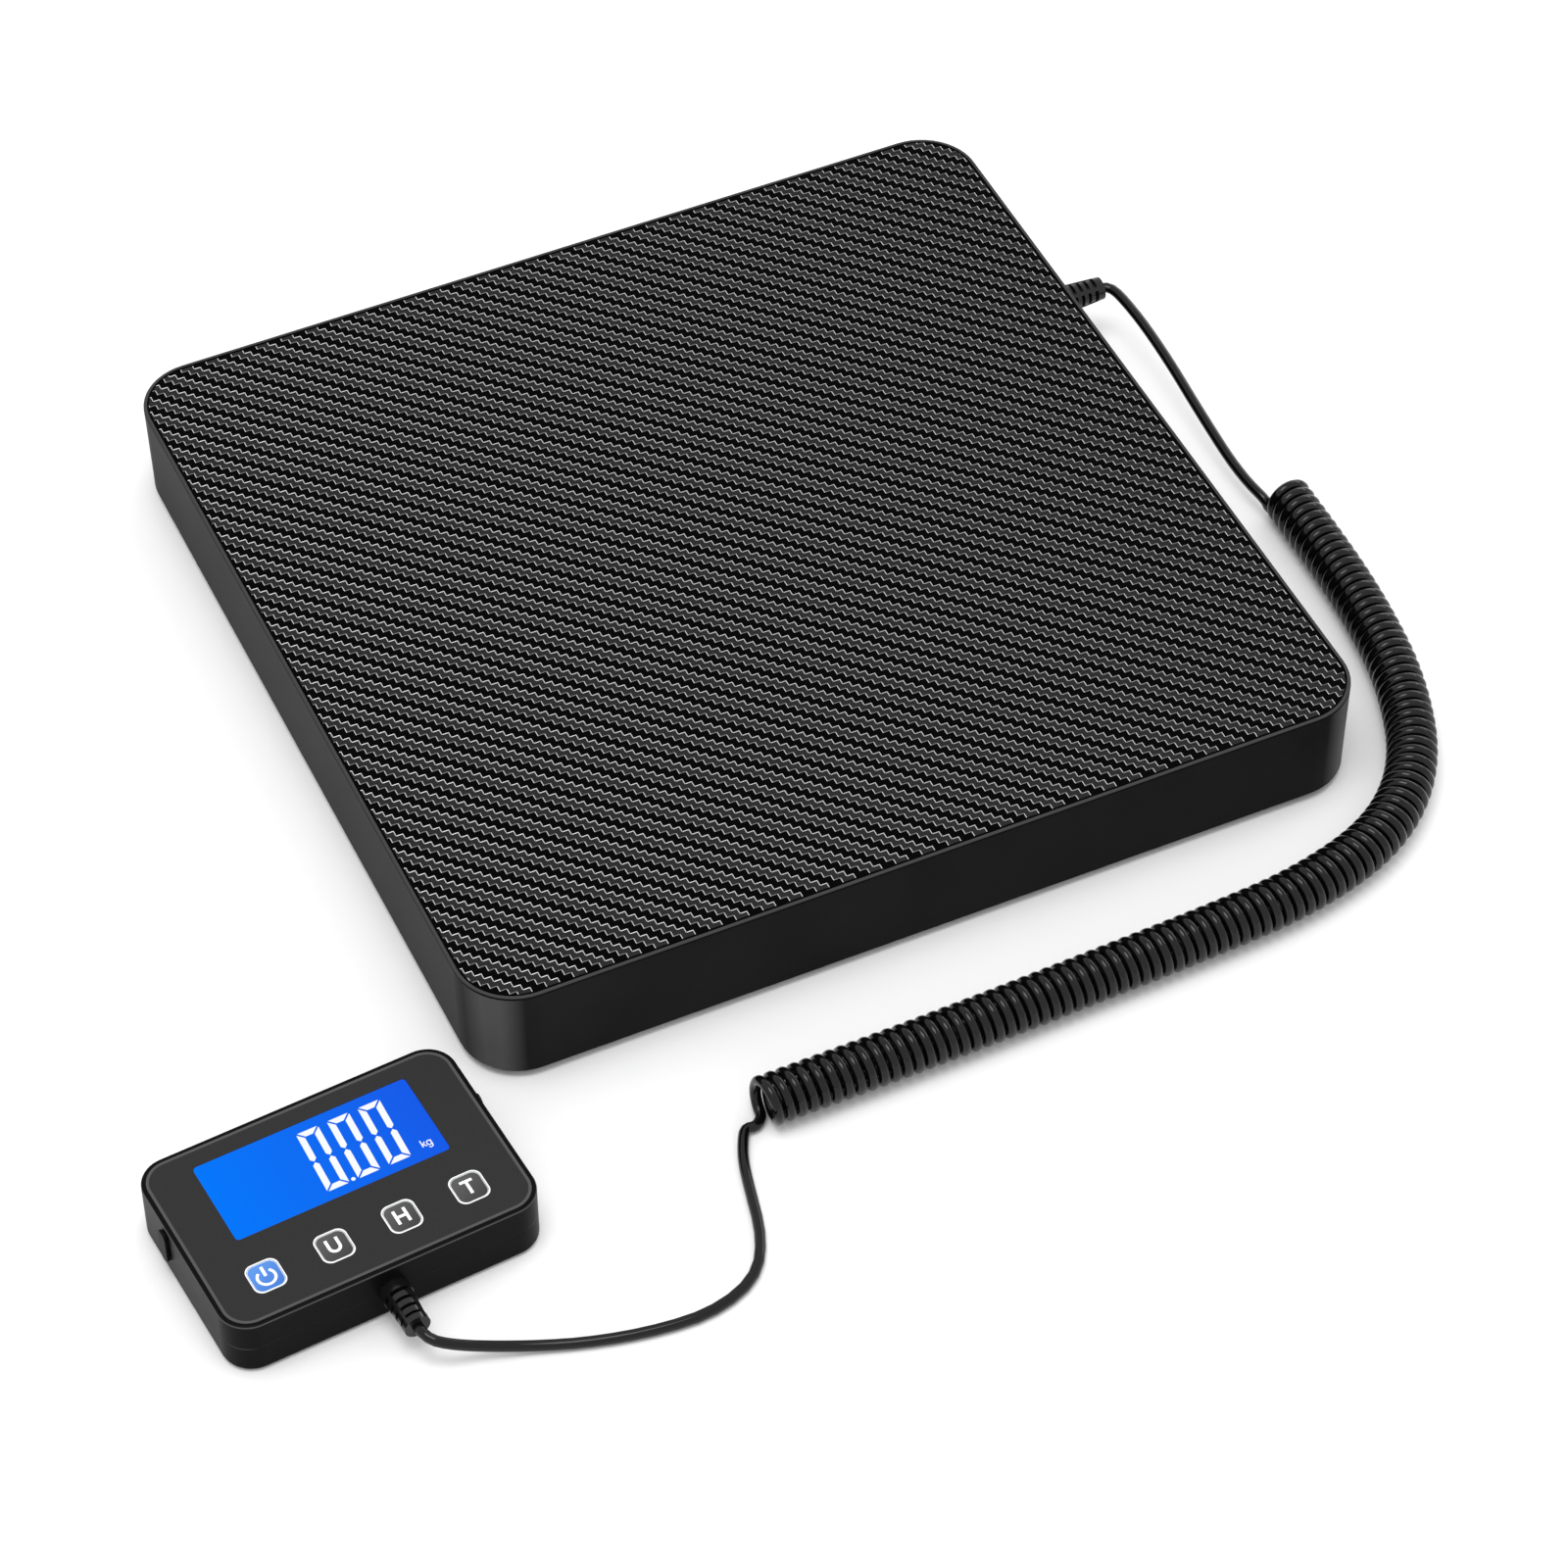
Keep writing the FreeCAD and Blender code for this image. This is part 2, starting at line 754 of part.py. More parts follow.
def junction_board():
    """The small board that joins the four load cells to the cord, and the parts soldered under it."""
    board = plate(
        "junction_board", at.junction_width, at.junction_depth, at.board_radius, at.junction_bottom,
        at.board_thickness,
    )
    holes = new_sketch(board, at.junction_bottom)
    for x, y in board_posts:
        circle(holes, x, y, at.screw_radius)
    pocket(board, holes, at.board_thickness, upward=True)
    keep(board)
    low = at.junction_bottom - at.connector_height
    half_x = at.connector_width / 2
    half_y = at.connector_depth / 2
    parts = []
    for n, (sx, sy) in enumerate(CORNERS):
        x, y = sx * connector_x, sy * connector_y
        sides = (x - half_x, x + half_x, y - half_y, y + half_y)
        parts.append(box(f"junction_connector_{n}", *sides, low, at.junction_bottom))
    chip_low = at.junction_bottom - at.chip_height
    parts.append(box("junction_chip", -half_x, half_x, -half_y, half_y, chip_low, at.junction_bottom))
    keep(group("junction_parts", parts))


# ---------------------------------------------------------------------------------------------------------
# Cords and wires: straight runs joined by tangent arcs, swept with a round section
# ---------------------------------------------------------------------------------------------------------
def rounded_path(points, share=0.45):
    """The edges of a route: each corner becomes an arc that takes the same share of its shorter run."""
    points = [Vector(*point) for point in points]
    edges = []
    radii = []
    reached = points[0]
    for before, corner, after in zip(points, points[1:], points[2:]):
        back = (before - corner).normalize()
        ahead = (after - corner).normalize()
        turn = math.pi - back.getAngle(ahead)
        run = share * min((before - corner).Length, (after - corner).Length)
        radii.append(run / math.tan(turn / 2))
        start = corner + back * run
        end = corner + ahead * run
        bisector = (back + ahead).normalize()
        middle = corner + bisector * (radii[-1] / math.cos(turn / 2) - radii[-1])
        edges.append(Part.LineSegment(reached, start).toShape())
        edges.append(Part.Arc(start, middle, end).toShape())
        reached = end
    edges.append(Part.LineSegment(reached, points[-1]).toShape())
    return edges, radii


def tube(label, points, radius):
    """A round tube along a route, proved against its section times its length."""
    edges, radii = rounded_path(points)
    path = Part.Wire(edges)
    start = Vector(*points[0])
    ring = Part.Wire([Part.makeCircle(radius, start, Vector(*points[1]) - start)])
    solid = path.makePipeShell([ring], True, False)
    wanted = math.pi * radius**2 * path.Length
    if abs(solid.Volume - wanted) > 0.01 * wanted:
        raise ValueError(f"{label}: volume {solid.Volume:.1f}, section times length {wanted:.1f}")
    rounded = ", ".join(f"{r:.1f}" for r in radii)
    print(f"{label}: length {path.Length:.1f}, tightest arc {min(radii):.1f}, arcs {rounded}")
    item = doc.addObject("Part::Feature", label)
    item.Shape = solid
    item.Label = label
    return item


def cord():
    """The free cord: a plain lead at each end, and the coil between them as one fat tube."""
    wire = at.wire_diameter.number / 2
    keep(tube("cord_platform_lead", PLATFORM_LEAD, wire))
    keep(tube("cord_coil", COIL_LINE, at.coil_diameter.number / 2))
    keep(tube("cord_display_lead", DISPLAY_LEAD, wire))


def wiring():
    """Four bundles from the load cells to the junction board, and the cord's tail inside each housing."""
    low = (at.junction_bottom - at.connector_height / 2).number
    near_x = (connector_x + at.connector_width / 2).number
    near_y = connector_y.number
    solids = []
    for n, (sx, sy) in enumerate(CORNERS):
        x, y = foot_x.number, foot_y.number
        route = [
            (sx * near_x, sy * near_y, low),
            (sx * (near_x + 12), sy * near_y, low),
            (sx * (x * 0.55), sy * (y * 0.5), low),
            (sx * (x - 16), sy * (y - 12), low),
        ]
        solids.append(tube(f"sensor_wires_{n}", route, at.sensor_wire_radius.number))
    keep(group("sensor_wiring", solids))
    wire = at.wire_diameter.number / 2
    side = at.cord_exit_side.number
    height = at.cord_exit_height.number
    over = junction_top.number + wire
    inner = (half_width - inner_inset - at.boot_flange).number
    tail = [
        (inner, side, height),
        (inner - 26, side, height),
        (inner - 48, side - 8, height - 1.5),
        (inner - 82, side - 32, (low + over + height) / 3 + 2),
        (near_x + 14, near_y + 12, over + 0.5),
        (near_x - 4, near_y, over + 0.3),
    ]
    keep(tube("cord_tail", tail, wire))
    inner = (at.display_depth / 2 - shell_wall - at.boot_flange).number
    height = at.display_split.number
    tail = [(0, -inner, height), (0, 5 - inner, height), (5, 11 - inner, height), (13, 14 - inner, height)]
    keep(tube("display_tail", tail, wire), display_place)


def boot(label, wall, grooves, size, placement):
    """A moulded strain relief along its own X axis, from the wall's outer face: a flange inside the wall, a
    neck through it, then a tapered body.  Grooves go round the body, four rails stand proud along it, and
    its end is solid.  size holds the radius at the wall, the radius at the end, the collar before the first
    groove, the pitch of the grooves and the length of the end.
    """
    radius, end_radius, collar, pitch, tip = size
    groove = at.boot_groove
    tip_start = collar + (grooves - 1) * pitch + groove
    length = tip_start + tip
    slope = (end_radius - radius) / length
    flange = at.boot_flange
    low = at.boot_rail_height
    pieces = [
        cylinder(f"{label}_flange", at.boot_flange_radius, flange, -wall - flange, 0, 0, ALONG_X),
        cylinder(f"{label}_neck", at.boot_neck_radius, wall, -wall, 0, 0, ALONG_X),
        cylinder(f"{label}_core", at.boot_core_radius, length, 0, 0, 0, ALONG_X),
        cone(f"{label}_collar", radius, radius + slope * collar, collar, 0),
        cone(f"{label}_tip", end_radius - slope * tip, end_radius, tip, tip_start),
    ]
    ring = pitch - groove
    for n in range(grooves - 1):
        start = collar + groove + n * pitch
        wide = radius + slope * start - low
        pieces.append(cone(f"{label}_ring_{n}", wide, wide + slope * ring, ring, start))
    half = at.boot_rail_width / 2
    bars = [
        box(f"{label}_bar_y", 0, length, -radius, radius, -half, half),
        box(f"{label}_bar_z", 0, length, -half, half, -radius, radius),
    ]
    rails = doc.addObject("Part::MultiCommon", f"{label}_rails")
    rails.Shapes = [cone(f"{label}_outline", radius, end_radius, length, 0), fuse(f"{label}_bars", bars)]
    rails.Placement = Placement(Vector(), Rotation(Vector(1, 0, 0), 45))
    pieces.append(rails)
    return keep(fuse(label, pieces), placement)


# ---------------------------------------------------------------------------------------------------------
# Display unit, drawn in its own frame: its middle at floor level, +Y towards its back edge
# ---------------------------------------------------------------------------------------------------------
display_x = -(at.platform_width / 2 + at.display_side)
display_y = -(at.platform_depth / 2 + at.display_front)
display_place = Placement(
    Vector(display_x.number, display_y.number, 0), Rotation(Vector(0, 0, 1), at.display_yaw.number)
)
shell_wall = at.display_wall
display_inner_width = at.display_width - 2 * shell_wall
display_inner_depth = at.display_depth - 2 * shell_wall
display_inner_radius = at.display_radius - shell_wall
battery_axis = at.battery_lift + at.battery_radius
board_bottom = battery_axis + at.battery_radius + at.battery_headroom
board_top = board_bottom + at.panel_board_thickness
switch_case_top = board_top + at.switch_height
switch_top = switch_case_top + at.plunger_height
stem_low = switch_top + at.key_travel + at.stem_clearance
flange_low = stem_low + at.key_stem
flange_high = flange_low + at.key_flange_height
panel_bottom = flange_high + at.key_rest_gap
display_height = panel_bottom + at.panel_thickness
key_top = display_height - at.key_sink
front_deck_bottom = panel_bottom - at.front_deck
key_side = at.key_margin - at.display_depth / 2
key_places = [((n - 1.5) * at.key_pitch, key_side) for n in range(4)]
lens_side = at.display_depth / 2 - at.lens_margin - at.lens_depth / 2
bolt_x = at.display_width / 2 - at.display_radius + at.bolt_side
bolt_y = at.display_depth / 2 - shell_wall - at.bolt_inset
display_bolts = [(sx * bolt_x, sy * bolt_y) for sx, sy in CORNERS]
board_width = display_inner_width - 2 * at.board_side_gap
board_depth = 2 * (bolt_y - at.display_boss_radius - at.board_end_gap)
arm_outer = at.display_width / 2 - shell_wall - at.arm_gap
arm_inner = arm_outer - at.arm_thickness
bay_length = at.battery_length + at.spring_length + 2 * at.contact_thickness
bay_half = bay_length / 2
battery_pitch = 2 * at.battery_radius + at.battery_spacing
battery_rows = [at.battery_middle + (n - 1) * battery_pitch for n in range(3)]
bay_front = battery_rows[0] - at.battery_radius - at.bay_clearance
bay_back = battery_rows[2] + at.battery_radius + at.bay_clearance
door_half = bay_half + at.door_margin
door_front = bay_front - at.door_margin
door_edge = at.display_depth / 2 - at.door_rear_gap
bar_back = door_front - at.bar_margin
bar_front = bar_back - at.bar_width


def front_housing():
    """The upper shell: a recess for the panel, and a deck with openings for the glass and the keys."""
    body = plate(
        "display_front_housing", at.display_width, at.display_depth, at.display_radius, at.display_split,
        display_height - at.display_split,
    )
    edge = outer_edges_at(display_height, at.display_width, at.display_depth)
    round_edges(body, at.display_round, edge)
    recess = new_sketch(body, display_height)
    border = 2 * (at.panel_border - at.panel_gap)
    round_rectangle(
        recess, at.display_width - border, at.display_depth - border,
        at.display_radius - at.panel_border + at.panel_gap,
    )
    pocket(body, recess, at.panel_thickness)
    inside = new_sketch(body, at.display_split)
    round_rectangle(inside, display_inner_width, display_inner_depth, display_inner_radius)
    pocket(body, inside, front_deck_bottom - at.display_split, upward=True)
    posts = new_sketch(body, at.display_split)
    for x, y in display_bolts:
        circle(posts, x, y, at.display_boss_radius)
    pad(body, posts, front_deck_bottom - at.display_split)
    pilots = new_sketch(body, at.display_split)
    for x, y in display_bolts:
        circle(pilots, x, y, at.screw_radius)
    pocket(body, pilots, (front_deck_bottom - at.display_split) * 0.8, upward=True)
    openings = new_sketch(body, panel_bottom)
    ledge = 2 * at.lens_ledge
    round_rectangle(openings, at.lens_width - ledge, at.lens_depth - ledge, at.lens_radius, 0, lens_side)
    grow = 2 * (at.key_flange + at.key_gap)
    for x, y in key_places:
        round_rectangle(openings, at.key_width + grow, at.key_depth + grow, at.key_radius, x, y)
    pocket(body, openings, at.front_deck)
    boot_hole(body)
    return body


def boot_hole(body):
    """The front wall's hole for the cord's boot: each shell holds half of it."""
    hole = new_sketch(body, at.display_depth / 2 + 1, "XZ_Plane")
    circle(hole, 0, at.display_split, at.boot_neck_radius)
    pocket(body, hole, shell_wall + 2)


def back_housing():
    """The lower shell: the battery bay, a slot for each arm of the stand and a channel for its bar."""
    body = plate(
        "display_back_housing", at.display_width, at.display_depth, at.display_radius, size_of(0),
        at.display_split,
    )
    round_edges(body, at.display_foot_round, outer_edges_at(size_of(0), at.display_width, at.display_depth))
    inside = new_sketch(body, at.display_split)
    round_rectangle(inside, display_inner_width, display_inner_depth, display_inner_radius)
    floor = at.floor_thickness
    pocket(body, inside, at.display_split - floor)
    channel_top = at.bar_lift + at.bar_thickness + at.arm_gap
    channel_front = bar_front - at.bar_gap
    channel_back = bar_back + at.bar_gap
    ridge = new_sketch(body, floor)
    half_inner = display_inner_width / 2
    rectangle(ridge, -half_inner, half_inner, channel_front - shell_wall, channel_back + shell_wall)
    pad(body, ridge, channel_top)
    posts = new_sketch(body, floor)
    for x, y in display_bolts:
        circle(posts, x, y, at.display_boss_radius)
    pad(body, posts, at.display_split - floor)
    bay = new_sketch(body, floor)
    ring = at.bay_wall
    rectangle(bay, -bay_half - ring, bay_half + ring, bay_front - ring, bay_back + ring)
    rectangle(bay, -bay_half, bay_half, bay_front, bay_back)
    pad(body, bay, battery_axis + at.battery_radius - floor)
    bay_opening = new_sketch(body, 0)
    rectangle(bay_opening, -bay_half, bay_half, bay_front, bay_back)
    pocket(body, bay_opening, floor, upward=True)
    door_seat = new_sketch(body, 0)
    side = door_half + at.door_gap
    beyond = at.display_depth / 2 + 2
    rectangle(door_seat, -side, side, door_front - at.door_gap, beyond)
    pocket(body, door_seat, at.door_sink + at.door_thickness + at.door_gap, upward=True)
    channel = new_sketch(body, 0)
    rectangle(channel, -half_inner, half_inner, channel_front, channel_back)
    pocket(body, channel, channel_top, upward=True)
    slots = new_sketch(body, 0)
    slot_back = at.pivot_side + at.arm_hub + 1.2
    for sign in (-1, 1):
        near = sign * (arm_inner - at.arm_gap)
        far = sign * half_inner
        low, high = (far, near) if sign < 0 else (near, far)
        rectangle(slots, low, high, channel_front, slot_back)
    pocket(body, slots, floor + channel_top, upward=True)
    bolts = new_sketch(body, 0)
    for x, y in display_bolts:
        circle(bolts, x, y, at.screw_radius)
    pocket(body, bolts, at.display_split, upward=True)
    sinks = new_sketch(body, 0)
    for x, y in display_bolts:
        circle(sinks, x, y, at.screw_head_radius + at.cell_gap)
    pocket(body, sinks, at.screw_head_height + at.door_sink, upward=True)
    pivots = new_sketch(body, at.display_width / 2 + 1, "YZ_Plane")
    circle(pivots, at.pivot_side, at.pivot_height, at.pivot_radius + at.pivot_clearance)
    pocket(body, pivots, at.display_width + 2)
    boot_hole(body)
    return body


def panel():
    """The overlay panel, flush with the shell's edge, and the clear lens let into it."""
    border = 2 * at.panel_border
    body = plate(
        "display_panel", at.display_width - border, at.display_depth - border,
        at.display_radius - at.panel_border, panel_bottom, at.panel_thickness,
    )
    openings = new_sketch(body, panel_bottom)
    round_rectangle(openings, at.lens_width, at.lens_depth, at.lens_radius, 0, lens_side)
    gap = 2 * at.key_gap
    for x, y in key_places:
        round_rectangle(
            openings, at.key_width + gap, at.key_depth + gap, at.key_radius + at.key_gap, x, y
        )
    pocket(body, openings, at.panel_thickness, upward=True)
    keep(body, display_place)
    lens = plate(
        "lcd_lens", at.lens_width - at.panel_gap, at.lens_depth - at.panel_gap, at.lens_radius,
        panel_bottom, at.panel_thickness, 0, lens_side,
    )
    keep(lens, display_place)


def readout():
    """The liquid crystal glass under the lens, and the backlight that it lies on."""
    glass_low = front_deck_bottom - at.panel_gap - at.glass_thickness
    light_low = glass_low - at.backlight_thickness
    width = at.lens_width + 2 * at.glass_margin
    depth = at.lens_depth + 2 * at.glass_margin
    radius = at.lens_radius / 2
    glass = plate("lcd_glass", width, depth, radius, glass_low, at.glass_thickness, 0, lens_side)
    light = plate("backlight", width, depth, radius, light_low, at.backlight_thickness, 0, lens_side)
    keep(glass, display_place)
    keep(light, display_place)


def key(label, x, y):
    """A key: a cap in the panel's opening, a flange that the panel keeps in, and a stem above its switch."""
    body = new_body(label)
    flange = new_sketch(body, flange_low)
    grow = 2 * at.key_flange
    round_rectangle(flange, at.key_width + grow, at.key_depth + grow, at.key_radius, x, y)
    pad(body, flange, at.key_flange_height)
    cap = new_sketch(body, flange_high)
    round_rectangle(cap, at.key_width, at.key_depth, at.key_radius, x, y)
    pad(body, cap, key_top - flange_high)
    stem = new_sketch(body, stem_low)
    circle(stem, x, y, at.stem_radius)
    pad(body, stem, at.key_stem)
    keep(body, display_place)


def display_board():
    """The main board, the parts soldered to it, and a tactile switch under each key."""
    board = plate(
        "display_board", board_width, board_depth, at.board_radius, board_bottom, at.panel_board_thickness
    )
    keep(board, display_place)
    high = board_top + at.chip_height
    y = key_side + at.key_depth
    half = at.chip_height * 2
    amplifier = at.key_pitch
    crystal = -at.key_pitch * 0.7
    parts = [
        box("display_chip", -2 * half, 2 * half, y - half, y + half, board_top, high),
        box("display_amplifier", amplifier - half, amplifier + half, y - half, y + half, board_top, high),
        cylinder("display_crystal", at.chip_height, at.chip_height, crystal, y, board_top),
    ]
    keep(group("display_board_parts", parts), display_place)
    switches = []
    half = at.switch_width / 2
    for n, (x, y) in enumerate(key_places):
        case = box(f"switch_{n}_case", x - half, x + half, y - half, y + half, board_top, switch_case_top)
        plunger = cylinder(
            f"switch_{n}_plunger", at.plunger_radius, at.plunger_height, x, y, switch_case_top
        )
        switches.append(fuse(f"switch_{n}", [case, plunger]))
    keep(group("key_switches", switches), display_place)


def batteries():
    """Three cells side by side, a plate and a spring at their ends, and the sliding door under them."""
    nipple_length = at.battery_nipple
    can_length = at.battery_length - nipple_length
    start = at.contact_thickness - bay_half
    can_start = start + nipple_length
    contacts = []
    for n, y in enumerate(battery_rows):
        can = cylinder(f"can_{n}", at.battery_radius, can_length, can_start, y, battery_axis, ALONG_X)
        nipple = cylinder(
            f"nipple_{n}", at.battery_nipple_radius, nipple_length, start, y, battery_axis, ALONG_X
        )
        keep(fuse(f"battery_{n + 1}", [can, nipple]), display_place)
        reach = at.battery_radius * 0.8
        low, high = battery_axis - reach, battery_axis + reach
        thick = at.contact_thickness
        plus = box(f"contact_{n}_plus", -bay_half, thick - bay_half, y - reach, y + reach, low, high)
        minus = box(f"contact_{n}_minus", bay_half - thick, bay_half, y - reach, y + reach, low, high)
        spring = doc.addObject("Part::Cone", f"contact_{n}_spring")
        bind(spring, "Radius1", at.battery_radius * 0.4)
        bind(spring, "Radius2", at.battery_radius * 0.7)
        bind(spring, "Height", at.spring_length)
        spring.Placement = Placement(Vector(), ALONG_X)
        bind(spring, "Placement.Base.x", bay_half - thick - at.spring_length)
        bind(spring, "Placement.Base.y", y)
        bind(spring, "Placement.Base.z", battery_axis)
        contacts.append(plus)
        contacts.append(fuse(f"contact_{n}_sprung", [minus, spring]))
    keep(group("battery_contacts", contacts), display_place)


def battery_door():
    """The door: a flat plate that runs out through the back edge, with a ribbed thumb grip."""
    body = new_body("battery_door")
    outline = new_sketch(body, at.door_sink)
    rectangle(outline, -door_half, door_half, door_front, door_edge)
    pad(body, outline, at.door_thickness)
    grip = new_sketch(body, at.door_sink)
    for n in range(5):
        low = door_front + at.door_margin + n * at.grip_pitch
        rectangle(grip, -at.grip_width / 2, at.grip_width / 2, low, low + at.grip_groove)
    pocket(body, grip, at.grip_depth, upward=True)
    keep(body, display_place)


def stand():
    """The fold-out stand: an arm along each side wall, joined by a bar that lies in the channel."""
    body = new_body("stand")
    hub = at.arm_hub
    y0, z0 = at.pivot_side, at.pivot_height
    low = at.bar_lift
    high = low + at.bar_thickness
    outline = [
        (bar_front, low),
        (bar_back, low),
        (y0 - hub, z0 - hub * 0.8),
        (y0 + hub * 0.4, z0 - hub * 0.9),
        (y0 + hub * 0.95, z0 - hub * 0.4),
        (y0 + hub * 0.95, z0 + hub * 0.4),
        (y0 + hub * 0.4, z0 + hub * 0.9),
        (y0 - hub * 0.4, z0 + hub * 0.9),
        (y0 - hub, z0 + hub * 0.4),
        (bar_back, high + 0.3),
        (bar_front, high),
    ]
    for start in (arm_inner, -arm_outer):
        arm = new_sketch(body, start, "YZ_Plane")
        polygon(arm, outline)
        pad(body, arm, at.arm_thickness)
        if start is arm_inner:
            bar = new_sketch(body, low)
            rectangle(bar, -arm_outer, arm_outer, bar_front, bar_back)
            pad(body, bar, at.bar_thickness)
    holes = new_sketch(body, arm_outer + 1, "YZ_Plane")
    circle(holes, y0, z0, at.pivot_radius)
    pocket(body, holes, 2 * arm_outer + 2)
    keep(body, display_place)
    pins = []
    face = at.display_width / 2 + at.panel_gap
    for sign in (-1, 1):
        name = "left" if sign < 0 else "right"
        pin_start = arm_inner if sign > 0 else -face
        ear_start = face if sign > 0 else -face - at.ear_thickness
        pin = cylinder(f"pin_{name}", at.pivot_radius, face - arm_inner, pin_start, y0, z0, ALONG_X)
        half = at.ear_width / 2
        straight = at.ear_height / 2 - half
        middle = at.ear_middle
        ear = [
            box(
                f"ear_{name}", ear_start, ear_start + at.ear_thickness, y0 - half, y0 + half,
                middle - straight, middle + straight,
            )
        ]
        for end in (-1, 1):
            cap_name = f"ear_{name}_{'low' if end < 0 else 'high'}"
            ear.append(
                cylinder(cap_name, half, at.ear_thickness, ear_start, y0, middle + end * straight, ALONG_X)
            )
        pins.append(fuse(f"pivot_{name}", [pin] + ear))
    keep(group("stand_pivots", pins), display_place)


# ---------------------------------------------------------------------------------------------------------
# The whole scale
# ---------------------------------------------------------------------------------------------------------
keep(platform_shell())
deck()
keep(bottom_cover())
screws("cover_screws", boss_places, cover_bottom + at.screw_head_height, at.screw_length)
for number, (x, y) in enumerate(foot_places, start=1):
    keep(load_cell_holder(number, x, y))
    keep(load_cell(number, x, y))
    keep(foot(number, x, y))
    keep(foot_pad(number, x, y))
screws("holder_screws", cell_bolts, at.cell_bottom, web_bottom - at.cell_bottom + at.web_thickness / 2)
junction_board()
screws("junction_screws", board_posts, at.junction_bottom, at.screw_length)
exit_point = Vector(half_width.number, at.cord_exit_side.number, at.cord_exit_height.number)
platform_boot_size = (
    at.platform_boot_radius, at.platform_boot_end, at.platform_boot_collar, at.platform_boot_pitch,
    at.platform_boot_tip,
)
boot("platform_strain_relief", inner_inset, 6, platform_boot_size, Placement(exit_point, Rotation()))
wiring()
cord()
boot_point = display_place.multVec(Vector(0, -at.display_depth.number / 2, at.display_split.number))
boot_turn = Rotation(Vector(0, 0, 1), at.display_yaw.number - 90)
display_boot_size = (
    at.display_boot_radius, at.display_boot_end, at.display_boot_collar, at.display_boot_pitch,
    at.display_boot_tip,
)
boot("display_strain_relief", shell_wall, 4, display_boot_size, Placement(boot_point, boot_turn))
keep(front_housing(), display_place)
keep(back_housing(), display_place)
screws("display_screws", display_bolts, at.screw_head_height + at.door_sink, at.screw_length, display_place)
panel()
readout()
display_board()
for label, (x, y) in zip(KEY_NAMES, key_places):
    key(label, x, y)
batteries()
battery_door()
stand()

doc.recompute()
for item in doc.Objects:
    if "Invalid" in item.State or "Error" in item.State:
        raise ValueError(f"{item.Label} is {item.State}")
for item in nodes:
    shape = item.Shape
    if shape.isNull() or not shape.isValid() or not shape.Solids:
        raise ValueError(f"{item.Label} has no valid solid")
    shape.exportStep(f"parts/{item.Label}.step")
    print(f"{item.Label}: {len(shape.Solids)} solids, {shape.Volume:.0f} mm3")
print(f"{len(nodes)} nodes")
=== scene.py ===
"""Platform shipping scale: finishes, curly cord, readout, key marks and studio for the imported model."""
import json
import math

import bpy
import numpy as np
from mathutils import Matrix, Vector


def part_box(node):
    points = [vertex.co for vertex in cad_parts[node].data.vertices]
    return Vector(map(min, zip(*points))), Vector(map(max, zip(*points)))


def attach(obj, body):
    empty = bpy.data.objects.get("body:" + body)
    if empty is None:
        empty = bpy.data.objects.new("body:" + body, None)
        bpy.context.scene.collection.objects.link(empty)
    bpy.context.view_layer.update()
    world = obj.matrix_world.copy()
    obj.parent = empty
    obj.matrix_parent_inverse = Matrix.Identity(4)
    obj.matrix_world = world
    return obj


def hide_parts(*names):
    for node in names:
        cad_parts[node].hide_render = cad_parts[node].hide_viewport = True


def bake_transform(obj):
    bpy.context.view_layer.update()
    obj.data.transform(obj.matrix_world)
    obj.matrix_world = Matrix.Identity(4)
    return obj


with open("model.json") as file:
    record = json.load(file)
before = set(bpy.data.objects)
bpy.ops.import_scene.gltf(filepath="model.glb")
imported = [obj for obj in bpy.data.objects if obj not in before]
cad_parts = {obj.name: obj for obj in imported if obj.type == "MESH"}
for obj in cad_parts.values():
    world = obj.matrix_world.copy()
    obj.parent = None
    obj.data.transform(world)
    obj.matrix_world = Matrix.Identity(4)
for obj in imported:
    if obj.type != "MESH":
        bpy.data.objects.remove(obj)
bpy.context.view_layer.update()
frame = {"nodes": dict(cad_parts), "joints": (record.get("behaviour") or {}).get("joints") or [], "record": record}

MM = 0.001
MICRON = 0.001 * MM


# ---------------------------------------------------------------------------------------------------------
# Finishes: node maths written as expressions
# ---------------------------------------------------------------------------------------------------------
class Shade:
    """One socket of a finish. Arithmetic on it adds Math nodes to that finish."""

    def __init__(self, finish, socket):
        self.finish = finish
        self.socket = socket

    def math(self, operation, *others):
        sockets = {n: item for n, item in enumerate((self,) + others)}
        return self.finish.node("ShaderNodeMath", {"operation": operation}, sockets)

    def __add__(self, other):
        return self.math("ADD", other)

    def __sub__(self, other):
        return self.math("SUBTRACT", other)

    def __mul__(self, other):
        return self.math("MULTIPLY", other)

    def __truediv__(self, other):
        return self.math("DIVIDE", other)

    def __mod__(self, other):
        return self.math("FLOORED_MODULO", other)

    def __pow__(self, other):
        return self.math("POWER", other)

    def __lt__(self, other):
        return self.math("LESS_THAN", other)

    def __gt__(self, other):
        return self.math("GREATER_THAN", other)

    def __abs__(self):
        return self.math("ABSOLUTE")

    def __rsub__(self, other):
        return (self * -1.0).math("ADD", other)

    __radd__ = __add__
    __rmul__ = __mul__

    def floor(self):
        return self.math("FLOOR")

    def low(self, other):
        return self.math("MINIMUM", other)

    def high(self, other):
        return self.math("MAXIMUM", other)

    def ramp(self, start, end):
        """0 below start, 1 above end, and straight between them."""
        sockets = {"Value": self, "From Min": start, "From Max": end}
        return self.finish.node("ShaderNodeMapRange", {"clamp": True}, sockets)


